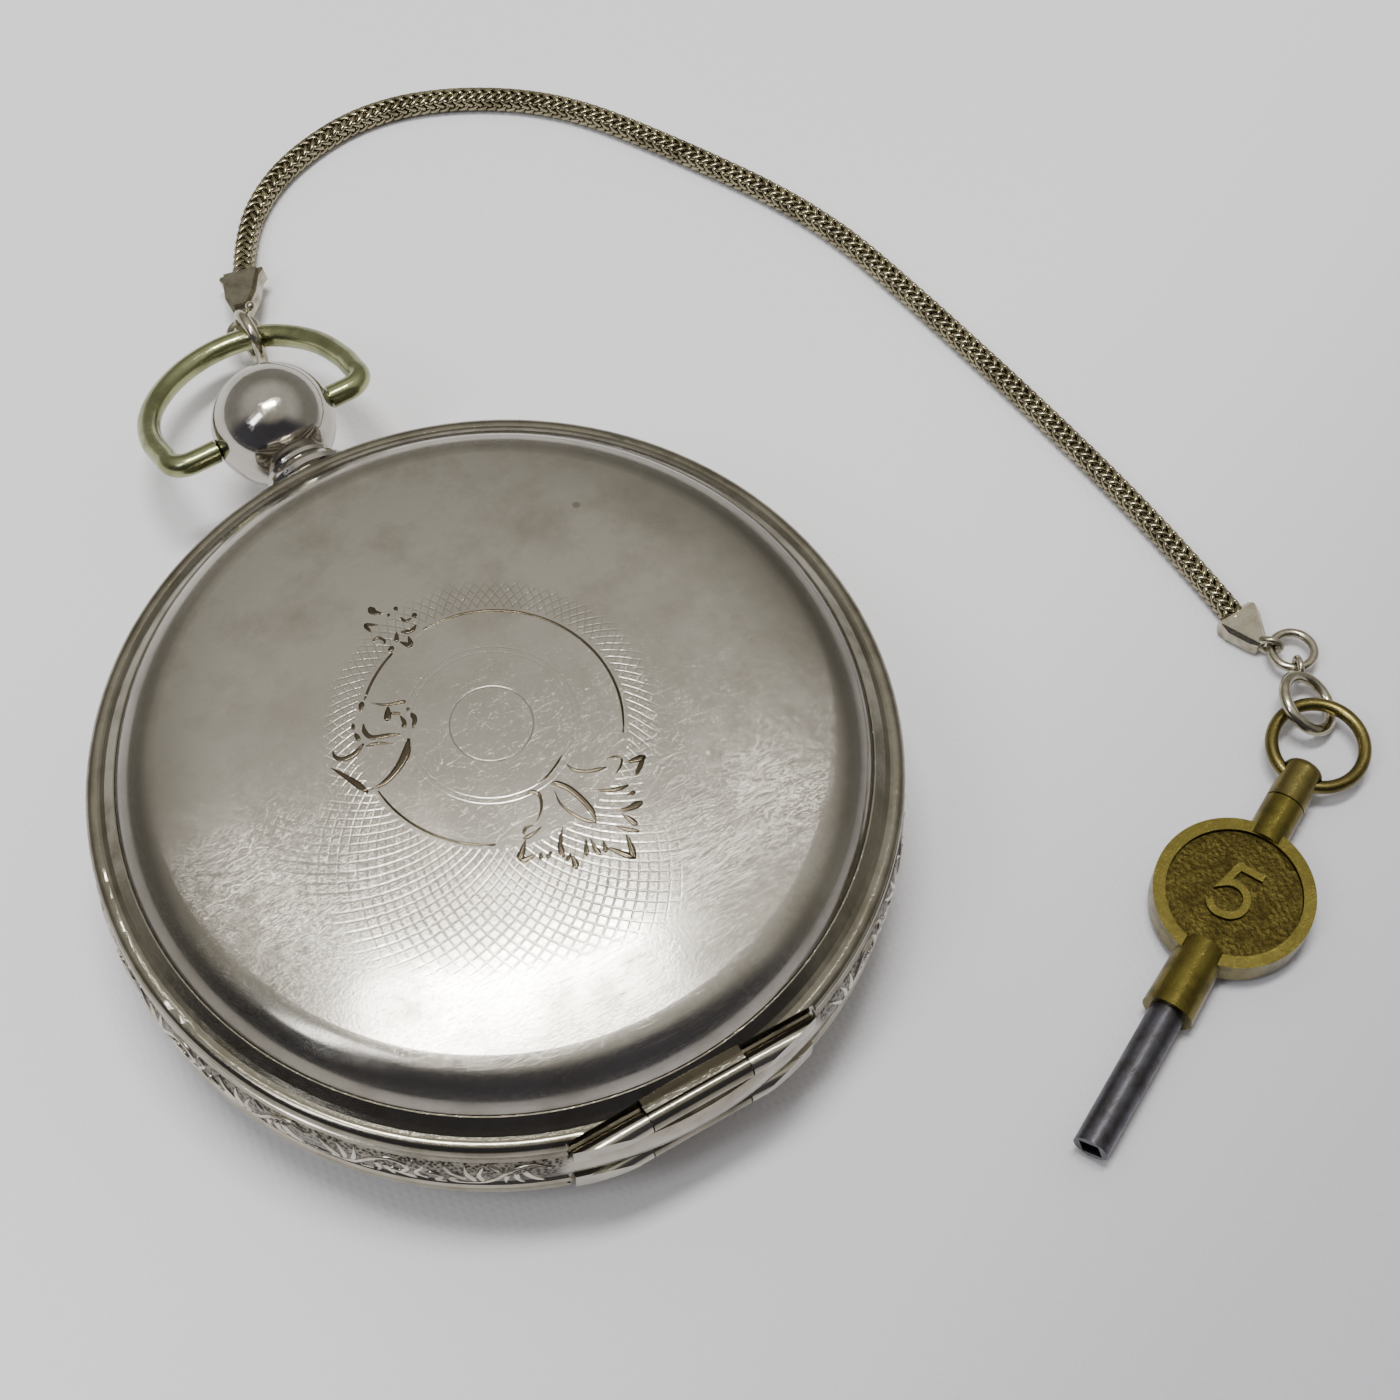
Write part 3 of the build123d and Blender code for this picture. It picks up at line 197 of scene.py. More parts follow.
def skin(rings):
    """Closed faces over rings of points, with both ends capped."""
    size = len(rings[0])
    points = [p for ring in rings for p in ring]
    faces = [tuple(reversed(range(size)))]
    for k in range(len(rings) - 1):
        for i in range(size):
            j = (i + 1) % size
            faces.append((k * size + i, k * size + j, (k + 1) * size + j, (k + 1) * size + i))
    faces.append(tuple(range((len(rings) - 1) * size, len(rings) * size)))
    return points, faces


def tube(line, radius, sides=8, taper=None):
    """A round bar along a line of points, in metres."""
    rings, side = [], None
    for i, at in enumerate(line):
        along = (line[min(i + 1, len(line) - 1)] - line[max(i - 1, 0)]).normalized()
        if side is None:
            side = along.orthogonal().normalized()
        side = (side - along * side.dot(along)).normalized()
        other = along.cross(side)
        r = radius * (taper[i] if taper else 1)
        rings.append([at + side * r * math.cos(2 * math.pi * k / sides)
                      + other * r * math.sin(2 * math.pi * k / sides) for k in range(sides)])
    return skin(rings)


def lathe(profile, centre, axis, sides=48):
    """A closed turned shape: profile is (radius, height) pairs in mm from end to end."""
    axis = Vector(axis).normalized()
    side = axis.orthogonal().normalized()
    other = axis.cross(side)
    rings = [[(Vector(centre) + axis * h + (side * math.cos(2 * math.pi * k / sides)
               + other * math.sin(2 * math.pi * k / sides)) * max(r, 0.001)) * MM
              for k in range(sides)] for r, h in profile]
    return skin(rings)


# %% [markdown]
# ## Metal finishes
# A polished metal that has been carried for a century is never one grey. It has cloudy patches
# where the polish has worn, hairline scratches in every direction and darker tarnish. One recipe
# makes all of these from a few numbers, and each metal then gets its own colour. Metallic is 1 and
# the IOR is left alone, because a metal's colour already holds its reflectance. Noise sizes are
# given in millimetres: the scale of a noise is one over its size in metres.

# %% The recipe for worn metal


def hairlines(tree, place, size_mm, angle, stretch, keep):
    """Sparse fine scratches that run one way: noise stretched along them, cut to its crests."""
    laid = put(tree, "ShaderNodeMapping",
               inputs={"Vector": place, "Rotation": (0, 0, math.radians(angle)),
                       "Scale": (stretch / (size_mm * MM), 1 / (size_mm * MM), 1 / (size_mm * MM))})
    noise = put(tree, "ShaderNodeTexNoise",
                inputs={"Vector": laid.outputs[0], "Scale": 1.0, "Detail": 2.0})
    crest = maths(tree, "ABSOLUTE", maths(tree, "SUBTRACT", noise.outputs["Fac"], 0.5))
    return put(tree, "ShaderNodeMapRange",
               inputs={"Value": crest, "From Min": 0.0, "From Max": keep, "To Min": 1.0,
                       "To Max": 0.0}).outputs[0]


def worn_metal(name, bright, dull, roughness, cloud_mm=3.0, pit_mm=0.25, relief_mm=0.004,
               scratch=0.35, clouds=0.5):
    """A metal whose colour and polish vary in clouds, with fine pits and hairline scratches."""
    material, tree, shader, place = new_material(name)
    cloud = put(tree, "ShaderNodeTexNoise",
                inputs={"Vector": place, "Scale": 1 / (cloud_mm * MM), "Detail": 6.0,
                        "Roughness": 0.62}).outputs["Fac"]
    cloud = put(tree, "ShaderNodeMapRange",
                inputs={"Value": cloud, "From Min": 0.62 - 0.35 * clouds, "From Max": 0.78}).outputs[0]
    pits = put(tree, "ShaderNodeTexNoise",
               inputs={"Vector": place, "Scale": 1 / (pit_mm * MM), "Detail": 3.0}).outputs["Fac"]
    lines = maths(tree, "MAXIMUM", hairlines(tree, place, 0.09, 24, 0.012, 0.006),
                  hairlines(tree, place, 0.11, -57, 0.015, 0.006))
    base = put(tree, "ShaderNodeMix", {"data_type": "RGBA"},
               {"Factor": cloud, 6: colour(bright), 7: colour(dull)})
    tree.links.new(base.outputs[2], shader.inputs["Base Color"])
    rough = put(tree, "ShaderNodeMapRange",
                inputs={"Value": cloud, "To Min": roughness[0], "To Max": roughness[1]}).outputs[0]
    rough = maths(tree, "ADD", rough, maths(tree, "MULTIPLY", lines, 0.12 * scratch))
    tree.links.new(rough, shader.inputs["Roughness"])
    height = maths(tree, "SUBTRACT", pits, maths(tree, "MULTIPLY", lines, scratch))
    bump = put(tree, "ShaderNodeBump",
               inputs={"Height": height, "Strength": 1.0, "Distance": relief_mm * MM})
    tree.links.new(bump.outputs[0], shader.inputs["Normal"])
    shader.inputs["Metallic"].default_value = 1.0
    return material, tree, shader, place


def blend(tree, amount, first, second):
    """Two colours mixed by an amount from 0 to 1."""
    return put(tree, "ShaderNodeMix", {"data_type": "RGBA"},
               {"Factor": amount, 6: first, 7: second}).outputs[2]


def add_bump(tree, shader, height, relief_mm, invert=False):
    """A second, coarser relief on top of a metal's own fine one."""
    fine = next(n for n in tree.nodes if n.bl_idname == "ShaderNodeBump")
    over = put(tree, "ShaderNodeBump", {"invert": invert},
               {"Height": height, "Strength": 1.0, "Distance": relief_mm * MM, "Normal": fine.outputs[0]})
    tree.links.new(over.outputs[0], shader.inputs["Normal"])


def tarnish_and_painted_shade(tree, shader, amount, hex_text):
    """Mixes a metal's colour towards another by an amount from 0 to 1."""
    before = shader.inputs["Base Color"].links[0].from_socket
    tree.links.new(blend(tree, amount, before, colour(hex_text)), shader.inputs["Base Color"])


def roughen(tree, shader, amount, more):
    """Adds to a metal's roughness where an amount from 0 to 1 says so."""
    before = shader.inputs["Roughness"].links[0].from_socket
    tree.links.new(maths(tree, "MULTIPLY_ADD", amount, more, before), shader.inputs["Roughness"])


# Colour, dull colour and roughness of each metal. Coin silver is warmer than fine silver, nickel
# silver is greenish, and old brass goes olive brown where it isn't rubbed.
METALS = {
    "polished coin silver": ("#B0AB9E", "#837C6C", (0.10, 0.24), 4.0, 0.30, 0.003),
    "mirror coin silver": ("#B7B3AB", "#938D82", (0.04, 0.12), 5.0, 0.40, 0.002),
    "dulled coin silver": ("#8B8678", "#5C5646", (0.12, 0.26), 3.0, 0.30, 0.003),
    "nickel silver wire": ("#9A9E76", "#6B6D4A", (0.16, 0.30), 2.0, 0.20, 0.004),
    "worn silver rings": ("#B4AE9A", "#6C6450", (0.14, 0.34), 1.2, 0.15, 0.003),
    "rubbed brass": ("#766B3E", "#3F371E", (0.22, 0.42), 1.6, 0.18, 0.006),
    "tempered spring steel": ("#7C7D80", "#56504A", (0.22, 0.36), 1.5, 0.12, 0.002),
    "polished steel": ("#B5B5B6", "#8C8B89", (0.12, 0.24), 1.5, 0.15, 0.002),
    "heat blued steel": ("#22386E", "#141D40", (0.14, 0.24), 1.0, 0.12, 0.001),
    "gilt brass plate": ("#D6B15E", "#B78F43", (0.28, 0.42), 1.5, 0.08, 0.006),
    "polished wheel brass": ("#CDAE62", "#A88C46", (0.16, 0.28), 1.2, 0.10, 0.002),
    "nickel silver bezel": ("#C9C5B8", "#A09B8C", (0.10, 0.22), 3.0, 0.30, 0.002),
}
metal = {name: worn_metal(name, *values)[0] for name, values in METALS.items()}
print("metals", len(metal))

# %% [markdown]
# ## Coin silver with engine turning
# The cover was engine turned on a rose engine: a plain round shield in the middle, then a field of
# crossed spiral cuts that leave little diamonds, worn away where fingers rub. A cut this shallow
# has no outline of its own, so it is worked out by rule in the material, from each point's distance
# and angle about the middle of the cover. Two families of spirals cross: one phase is the angle
# times a whole number plus the distance, the other is minus the distance. A cut lies where a phase
# passes a whole number.

# %% Engine-turned silver
TURNS = 96                 # spiral cuts in each family round the cover
DIAMOND = 0.92             # length of a diamond along a radius, mm


def near_circle(tree, distance, radius, half_width):
    """1 on a circle of that radius, falling to 0 half_width away, in mm."""
    off = maths(tree, "ABSOLUTE", maths(tree, "SUBTRACT", distance, radius))
    return put(tree, "ShaderNodeMapRange", {"interpolation_type": "SMOOTHSTEP"},
               {"Value": off, "From Min": 0.0, "From Max": half_width, "To Min": 1.0,
                "To Max": 0.0}).outputs[0]


def between(tree, value, low, high, to_low=0.0, to_high=1.0):
    """Moves smoothly from to_low to to_high as value goes from low to high."""
    return put(tree, "ShaderNodeMapRange", {"interpolation_type": "SMOOTHSTEP"},
               {"Value": value, "From Min": low, "From Max": high, "To Min": to_low,
                "To Max": to_high}).outputs[0]


turned_silver, tree, shader, place = worn_metal(
    "engine-turned coin silver", "#B0ABA0", "#8D877B", (0.14, 0.27), 5.0, 0.22, 0.0035, 0.5)
x_mm, y_mm, _, distance = in_mm(tree, place)
around = maths(tree, "MULTIPLY", maths(tree, "ARCTAN2", y_mm, x_mm), TURNS / (2 * math.pi))
out = maths(tree, "DIVIDE", distance, DIAMOND)
cuts = []
for sign in (1.0, -1.0):
    phase = maths(tree, "MULTIPLY_ADD", out, sign, around)
    cuts.append(between(tree, maths(tree, "PINGPONG", phase, 0.5), 0.0, 0.17, 1.0, 0.0))
diamonds = maths(tree, "MAXIMUM", *cuts)
# The field starts in a saw edge beside the outer circle and is rubbed away further out.
saw = maths(tree, "MULTIPLY_ADD", maths(tree, "PINGPONG", around, 0.5), 0.9, 8.95)
field = maths(tree, "MULTIPLY", between(tree, maths(tree, "SUBTRACT", distance, saw), 0.0, 0.12),
              between(tree, distance, 14.5, 18.5, 1.0, 0.0))
wear = put(tree, "ShaderNodeTexNoise", inputs={"Vector": place, "Scale": 1 / (6.0 * MM), "Detail": 3.0})
towards = maths(tree, "ADD", maths(tree, "MULTIPLY", x_mm, -0.030), maths(tree, "MULTIPLY", y_mm, -0.045))
kept = between(tree, maths(tree, "ADD", wear.outputs["Fac"], towards), 0.62, 1.15, 0.0, 1.0)
kept = maths(tree, "MAXIMUM", kept, between(tree, distance, 10.4, 11.6, 0.75, 0.0))
field = maths(tree, "MULTIPLY", maths(tree, "MULTIPLY", diamonds, field), kept)
circles = maths(tree, "MAXIMUM", near_circle(tree, distance, 2.78, 0.07), maths(
    tree, "MULTIPLY", maths(tree, "MAXIMUM", near_circle(tree, distance, 5.45, 0.07),
                            near_circle(tree, distance, 5.85, 0.07)), 0.30))
grooves = maths(tree, "MAXIMUM", maths(tree, "MULTIPLY", field, 0.75), circles)
add_bump(tree, shader, grooves, 0.020, invert=True)
# A few dark pits where the tarnish has bitten.
spots = put(tree, "ShaderNodeTexVoronoi", inputs={"Vector": place, "Scale": 1 / (7.5 * MM)})
pit = between(tree, spots.outputs["Distance"], 0.022, 0.055, 1.0, 0.0)
# The dome's left and right sides beside the crease are painted darker: a painted dark reflection of the
# room on its shoulders, set into the colour.
sideways = maths(tree, "ABSOLUTE", maths(tree, "DIVIDE", x_mm, maths(tree, "MAXIMUM", distance, 1.0)))
tarnish_and_painted_shade(tree, shader, maths(tree, "MULTIPLY", between(tree, distance, 17.5, 24.0, 0.0, 0.85),
                            maths(tree, "POWER", sideways, 2.0)), "#6A665D")
tarnish_and_painted_shade(tree, shader, maths(tree, "MAXIMUM", maths(tree, "MULTIPLY", grooves, 0.34),
                            maths(tree, "MULTIPLY", pit, 0.5)), "#4E463C")
print("engine turning", TURNS, "cuts each way,", DIAMOND, "mm diamonds")

# %% [markdown]
# ## Chased silver for the band
# The middle band of the case is chased with leaves and scrolls between two plain lines. The ground
# behind them was punched down and has gone nearly black, which is what makes the ornament show.
# The ground is matt and rough; the rest of the band is polished. Both are one material that looks
# at a point's height on the band.

# %% The band's material
BAND_MIDDLE = 9.7          # height of the middle of the band over the table, mm
band_silver, tree, shader, place = worn_metal(
    "chased coin silver", "#ABA597", "#797161", (0.12, 0.28), 3.0, 0.25, 0.003, 0.4)
_, y_mm, z_mm, distance = in_mm(tree, place)
rise = maths(tree, "ABSOLUTE", maths(tree, "SUBTRACT", z_mm, BAND_MIDDLE))
ground = maths(tree, "MULTIPLY", between(tree, rise, 1.95, 2.08, 1.0, 0.0),
               between(tree, distance, 26.9, 27.1))
ground = maths(tree, "MULTIPLY", ground, between(tree, y_mm, -26.4, -26.0))
stipple = put(tree, "ShaderNodeTexVoronoi", inputs={"Vector": place, "Scale": 1 / (0.28 * MM)})
dark = maths(tree, "MULTIPLY", ground, between(tree, stipple.outputs["Distance"], 0.2, 0.75, 1.0, 0.45))
tarnish_and_painted_shade(tree, shader, dark, "#1D1914")
roughen(tree, shader, ground, 0.22)
add_bump(tree, shader, maths(tree, "MULTIPLY", stipple.outputs["Distance"], ground), 0.05)

# %% [markdown]
# ## Brass of the key, glass and enamel
# The key's disc was cast with a rough sunk ground that holds dirt, round a raised size number and a
# rim that pockets have polished, so the ground is told from the rest by its height and its distance
# from the middle of the disc. Enamel is opaque glass: glossy and nearly white, not metallic.

# %% Key brass, crystal glass and enamel
KEY_WAY = Vector((-0.882948, -0.469472, 0.0))          # from the head of the key to its tip
HEAD_TOP = Vector((52.6, -24.9, 2.0))
DISC = HEAD_TOP + KEY_WAY * 12.1
key_brass, tree, shader, place = worn_metal(
    "cast key brass", "#6F6531", "#40381A", (0.22, 0.40), 1.5, 0.20, 0.008, 0.4, 0.55)
_, _, z_mm, distance = in_mm(tree, place, (DISC.x, DISC.y))
height = maths(tree, "ABSOLUTE", maths(tree, "SUBTRACT", z_mm, DISC.z))
sunk = maths(tree, "MULTIPLY", between(tree, distance, 4.86, 4.93, 1.0, 0.0),
             between(tree, height, 0.80, 0.98, 1.0, 0.0))
grit = put(tree, "ShaderNodeTexNoise", inputs={"Vector": place, "Scale": 1 / (0.35 * MM), "Detail": 4.0})
dirt = maths(tree, "MULTIPLY", sunk, between(tree, grit.outputs["Fac"], 0.25, 0.85, 0.95, 0.55))
tarnish_and_painted_shade(tree, shader, dirt, "#332B14")
roughen(tree, shader, sunk, 0.22)
add_bump(tree, shader, maths(tree, "MULTIPLY", grit.outputs["Fac"], sunk), 0.12)

key_steel = worn_metal("rusty grey steel pipe", "#5B5A60", "#38342F", (0.28, 0.45), 1.1, 0.12,
                       0.006, 0.6, 0.8)[0]

crystal_glass, tree, shader, place = new_material("watch crystal glass")
shader.inputs["Base Color"].default_value = colour("#FCFDFC")
shader.inputs["Transmission Weight"].default_value = 1.0
shader.inputs["IOR"].default_value = 1.52
smear = put(tree, "ShaderNodeTexNoise", inputs={"Vector": place, "Scale": 1 / (9.0 * MM), "Detail": 4.0})
tree.links.new(between(tree, smear.outputs["Fac"], 0.4, 0.8, 0.01, 0.05), shader.inputs["Roughness"])

enamel, tree, shader, place = new_material("fired white enamel")
tint = put(tree, "ShaderNodeTexNoise", inputs={"Vector": place, "Scale": 1 / (8.0 * MM), "Detail": 3.0})
mixed = put(tree, "ShaderNodeMix", {"data_type": "RGBA"},
            {"Factor": tint.outputs["Fac"], 6: colour("#F3F0E8"), 7: colour("#E9E4D8")})
tree.links.new(mixed.outputs[2], shader.inputs["Base Color"])
shader.inputs["Roughness"].default_value = 0.12
shader.inputs["IOR"].default_value = 1.52
ripple = put(tree, "ShaderNodeBump", inputs={"Height": tint.outputs["Fac"], "Distance": 0.02 * MM})
tree.links.new(ripple.outputs[0], shader.inputs["Normal"])

black_enamel, tree, shader, place = new_material("fired black enamel")
grain = put(tree, "ShaderNodeTexNoise", inputs={"Vector": place, "Scale": 1 / (0.4 * MM)})
mixed = put(tree, "ShaderNodeMix", {"data_type": "RGBA"},
            {"Factor": grain.outputs["Fac"], 6: colour("#101012"), 7: colour("#22201E")})
tree.links.new(mixed.outputs[2], shader.inputs["Base Color"])
shader.inputs["Roughness"].default_value = 0.22

# %% [markdown]
# ## Finishes for the CAD parts
# Each part of the frame gets the finish of the metal that it is made of on the real watch.

# %% Give every CAD part its finish
FINISHES = {
    "mirror coin silver": "pendant push_piece",
    "polished coin silver": "cuvette",
    "dulled coin silver": "front_cover_rim back_cover_rim",
    "nickel silver wire": "bow",
    "nickel silver bezel": "bezel",
    "worn silver rings": "clasp_ring bow_clip key_clip jump_ring spring_ring",
    "rubbed brass": "key_ring key_head",
    "tempered spring steel": "front_hinge_pin back_hinge_pin cuvette_hinge_pin lock_spring lift_spring",
    "heat blued steel": "mainspring hairspring hour_hand minute_hand seconds_hand pillar_screw_1 "
                        "pillar_screw_2 pillar_screw_3 pillar_screw_4 case_screw_1 case_screw_2 "
                        "cock_screw click_screw",
    "polished steel": "winding_arbor click pallet_fork cannon_pinion minute_post escape_wheel",
    "gilt brass plate": "pillar_plate top_plate balance_cock pillar_1 pillar_2 pillar_3 pillar_4",
    "polished wheel brass": "barrel centre_wheel third_wheel fourth_wheel balance_wheel "
                            "minute_wheel hour_wheel",
}
for finish, names in FINISHES.items():
    for name in names.split():
        finish_of(name, metal[finish])
for name in ("front_cover_dome", "back_cover_dome"):
    finish_of(name, turned_silver)
finish_of("case_band", band_silver)
finish_of("key_body", key_brass)
finish_of("key_pipe", key_steel)
finish_of("crystal", crystal_glass)
finish_of("dial", enamel)
print("finished", sum(len(v.split()) for v in FINISHES.values()) + 7, "parts")

# %% [markdown]
# ## Cut ornament on the cover
# A sprig with a flower and a vine leaf were cut by hand across the outer circle. A graver leaves a
# V-shaped groove that swells and tapers, bright on the flank that faces the light and dark in the
# bottom, which a bump alone can't show. Each cut is therefore a thin closed strip on the cover with
# a V in its top, wider where the graver went deeper. A cut is listed as its width at each end and
# the points that it goes through, in mm across the cover.

# %% Graver cuts
COVER_TOP, COVER_ARC = 19.4, 132.0      # crown of the cover and radius of its curve, mm
SPRIG = [
    (0.55, 0.08, (-2.79, 12.23), (-2.65, 11.67), (-2.19, 11.3)),
    (0.28, 0.1, (-1.27, 11.33), (-1.31, 10.93)),
    (0.14, 0.14, (-1.34, 10.37), (-1.19, 9.92), (-0.76, 9.94)),
    (0.34, 0.2, (-0.53, 10.17), (-0.36, 9.83)),
    (0.18, 0.24, (-0.73, 9.26), (-1.23, 9.04), (-1.89, 9.3)),
    (0.08, 0.36, (-2.28, 8.66), (-1.76, 7.92)),
    (0.06, 0.34, (-1.6, 8.78), (-1.73, 7.99)), (0.14, 0.3, (-2.12, 9.47), (-2.48, 8.76)),
    (0.28, 0.24, (-2.83, 8.59), (-3.29, 8.36)), (0.16, 0.12, (-1.88, 11.07), (-2.01, 10.83)),
    (0.08, 0.2, (-2.91, 10.63), (-3.69, 11.2)), (0.24, 0.1, (-3.72, 11.15), (-3.56, 10.39)),
    (0.14, 0.1, (-3.9, 9.65), (-3.41, 9.77), (-3.12, 9.31), (-3.32, 9.02)),
]
FLOWER = [
    (0.36, 0.14, (-6.57, 5.9), (-7.04, 5.34)),
    (0.08, 0.2, (-6.1, 5.51), (-5.33, 4.86), (-4.27, 4.47), (-4.15, 4.27)),
    (0.2, 0.12, (-4.15, 3.87), (-4.33, 3.69)), (0.3, 0.18, (-4.2, 3.45), (-4.21, 2.88), (-4.65, 2.38)),
    (0.16, 0.48, (-5.26, 4.69), (-5.83, 3.72)), (0.14, 0.16, (-5.4, 4.18), (-4.8, 3.76)),
    (0.16, 0.26, (-4.91, 3.63), (-4.91, 3.03), (-5.23, 2.7)),
    (0.26, 0.22, (-7.27, 4.39), (-7.46, 3.83), (-7.24, 3.2), (-6.32, 2.79), (-5.55, 2.41)),
    (0.16, 0.22, (-7.85, 4.79), (-8.05, 4.35)), (0.2, 0.28, (-8.07, 4.07), (-8.06, 3.43)),
    (0.34, 0.16, (-7.93, 3.09), (-8.75, 2.76), (-9.57, 2.79), (-9.97, 3.23), (-9.93, 3.72)),
    (0.18, 0.08, (-7.87, 2.84), (-7.06, 2.58), (-6.3, 2.03)),
    (0.56, 0.16, (-5.22, 1.84), (-5.94, 0.93), (-7.07, 0.2), (-8.2, -0.17), (-9.12, -0.14)),
    (0.06, 0.5, (-10.6, 2.73), (-9.97, 1.42), (-9.31, -0.2)),
]
VINE_LEAF = [
    (0.31, 0.31, (1.23, -5.89), (1.56, -5.95), (2.11, -6.7), (2.47, -7.79), (2.61, -8.83), (2.48, -9.65)),
    (0.08, 0.2, (1.2, -6.37), (1.09, -7.36), (1.45, -8.44), (1.98, -9.22), (2.48, -9.65)),
    (0.12, 0.23, (2.76, -4.92), (3.03, -5.66), (3.71, -6.19), (4.39, -6.42), (4.98, -6.55)),
    (0.08, 0.12, (5.3, -6.05), (5.86, -6.15), (6.17, -6.5), (5.87, -6.92), (5.31, -7.26)),
    (0.11, 0.09, (2.88, -4.37), (2.21, -4.79), (1.34, -5.19), (0.5, -5.38)),
    (0.06, 0.54, (6.19, -6.87), (7.65, -7.13)),
    (0.31, 0.17, (7.45, -7.18), (6.86, -7.64), (6.34, -8.03)),
    (0.08, 0.28, (3.37, -7.5), (4.01, -7.94), (4.81, -8.26), (5.65, -8.39)),
    (0.11, 0.26, (5.14, -8.94), (5.8, -9.0)),
    (0.06, 0.51, (3.81, -9.29), (4.52, -9.76), (5.21, -9.83), (5.84, -9.85)),
    (0.09, 0.46, (4.22, -9.99), (4.49, -10.5), (4.68, -11.11)),
    (0.06, 0.31, (3.43, -10.51), (3.89, -10.98), (4.63, -11.56)),
    (0.09, 0.48, (3.76, -11.21), (3.63, -12.0), (3.38, -13.07)),
    (0.11, 0.42, (2.16, -11.44), (2.63, -12.04), (3.38, -12.99)),
    (0.08, 0.33, (2.23, -10.97), (1.96, -11.77)),
    (0.08, 0.4, (1.54, -10.41), (1.51, -11.17), (1.56, -11.75)),
    (0.06, 0.36, (1.33, -10.29), (0.76, -11.36)),
    (0.12, 0.46, (-0.12, -10.76), (-0.09, -11.29), (-0.27, -11.82)),
    (0.08, 0.23, (-0.01, -10.65), (-0.56, -11.04)),
    (0.06, 0.43, (0.42, -8.82), (-0.1, -9.48), (-0.44, -10.06), (-0.57, -10.72)),
    (0.11, 0.29, (-1.04, -9.98), (-1.57, -10.21)), (0.11, 0.29, (-1.68, -9.7), (-1.97, -10.12)),
    (0.08, 0.39, (-1.92, -9.61), (-2.53, -9.64), (-3.17, -9.55)),
    (0.11, 0.51, (-2.11, -8.42), (-2.71, -9.02), (-3.19, -9.46)),
    (0.06, 0.28, (-0.71, -8.14), (-1.55, -8.31), (-2.23, -8.3)),
    (0.06, 0.23, (-1.19, -7.81), (-1.69, -7.7), (-2.08, -8.04)),
    (0.26, 0.06, (-0.59, -5.71), (-0.16, -5.69), (0.19, -6.07), (0.01, -6.75),
     (-0.41, -7.3), (-0.93, -7.72)),
]
OUTER_CIRCLE = 8.72
ARCS = [(93, -34), (111, 137), (183, 243)]      # the outer circle is cut between the ornaments
V_CUT = [(-1.3, -0.03), (-1.0, 0.045), (-0.08, 0.004), (0.08, 0.004), (1.0, 0.045), (1.3, -0.03)]
ROUNDED_LEAF = [(-1.0, -0.12), (-0.75, 0.07), (-0.1, 0.14), (0.1, 0.14), (0.75, 0.07), (1.0, -0.12)]


def on_cover(x, y, height):
    """A point of the front cover's outside, in metres."""
    top = COVER_TOP - COVER_ARC + math.sqrt(COVER_ARC**2 - x * x - y * y)
    return Vector((x, y, top + height)) * MM


def strip(line, start, end, section, place, blunt=0.25):
    """A closed strip along a flat line, from width start to width end, with pointed ends."""
    rings = []
    for i, at in enumerate(line):
        along = (line[min(i + 1, len(line) - 1)] - line[max(i - 1, 0)]).normalized()
        t = i / (len(line) - 1)
        half = 0.5 * (start + (end - start) * t) * min(1.0, blunt + 3.2 * min(t, 1 - t))
        rings.append([place(at.x - along.y * side * half, at.y + along.x * side * half, rise)
                      for side, rise in section])
    return skin(rings)


cut_silver = worn_metal("tarnished graver cuts", "#544C3E", "#2A251C", (0.16, 0.34),
                        0.8, 0.10, 0.004, 0.0)[0]
cuts = [strip(through(points, 5), a * 1.05 + 0.03, b * 1.05 + 0.03, V_CUT, on_cover)
        for a, b, *points in SPRIG + FLOWER + VINE_LEAF]
for first, last in ARCS:
    steps = max(8, abs(last - first) // 3)
    arc = [Vector((OUTER_CIRCLE * math.cos(a), OUTER_CIRCLE * math.sin(a)))
           for a in (math.radians(first + (last - first) * i / steps) for i in range(steps + 1))]
    cuts.append(strip(arc, 0.14, 0.16, V_CUT, on_cover, 0.6))
ornament = mesh_piece("cover_ornament", *join(cuts), cut_silver)
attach(ornament, "front_cover")
print("graver cuts", len(cuts), "faces", len(ornament.data.polygons))

# %% [markdown]
# ## Geometry Nodes helpers
# The band's leaves, the chain's links and the dial's marks are one small shape many times over.
# A Geometry Nodes tree places them by rule from a few named sizes. The result is turned into a
# plain mesh, because everything downstream of this lesson wants plain meshes.

# %% Trees with named inputs


def new_tree(name, **inputs):
    """A Geometry Nodes tree with a geometry input and named sizes, and its two end nodes."""
    tree = bpy.data.node_groups.new(name, "GeometryNodeTree")
    tree.interface.new_socket(name="Geometry", in_out="INPUT", socket_type="NodeSocketGeometry")
    for label, kind in inputs.items():
        tree.interface.new_socket(name=label.replace("_", " "), in_out="INPUT", socket_type=kind)
    tree.interface.new_socket(name="Geometry", in_out="OUTPUT", socket_type="NodeSocketGeometry")
    return tree, put(tree, "NodeGroupInput"), put(tree, "NodeGroupOutput")


def grown(carrier, tree, name, **values):
    """The plain mesh that a tree makes on a carrier object, as a new object at the origin."""
    modifier = carrier.modifiers.new("rule", "NODES")
    modifier.node_group = tree
    for item in tree.interface.items_tree:
        label = item.name.replace(" ", "_")
        if item.in_out == "INPUT" and label in values:
            modifier[item.identifier] = values[label]
    done = carrier.evaluated_get(bpy.context.evaluated_depsgraph_get())
    mesh = bpy.data.meshes.new_from_object(done)
    carrier.modifiers.remove(modifier)
    bpy.data.objects.remove(carrier)
    mesh.name = name
    made = bpy.data.objects.new(name, mesh)
    bpy.context.scene.collection.objects.link(made)
    print(name, "faces", len(mesh.polygons))
    return made


def copies_on(tree, points, original, rotation):
    """Real copies of an object, one on each point."""
    shape = put(tree, "GeometryNodeObjectInfo", inputs={"Object": original})
    copies = put(tree, "GeometryNodeInstanceOnPoints",
                 inputs={"Points": points, "Instance": shape.outputs["Geometry"], "Rotation": rotation})
    return put(tree, "GeometryNodeRealizeInstances", inputs={0: copies.outputs[0]}).outputs[0]


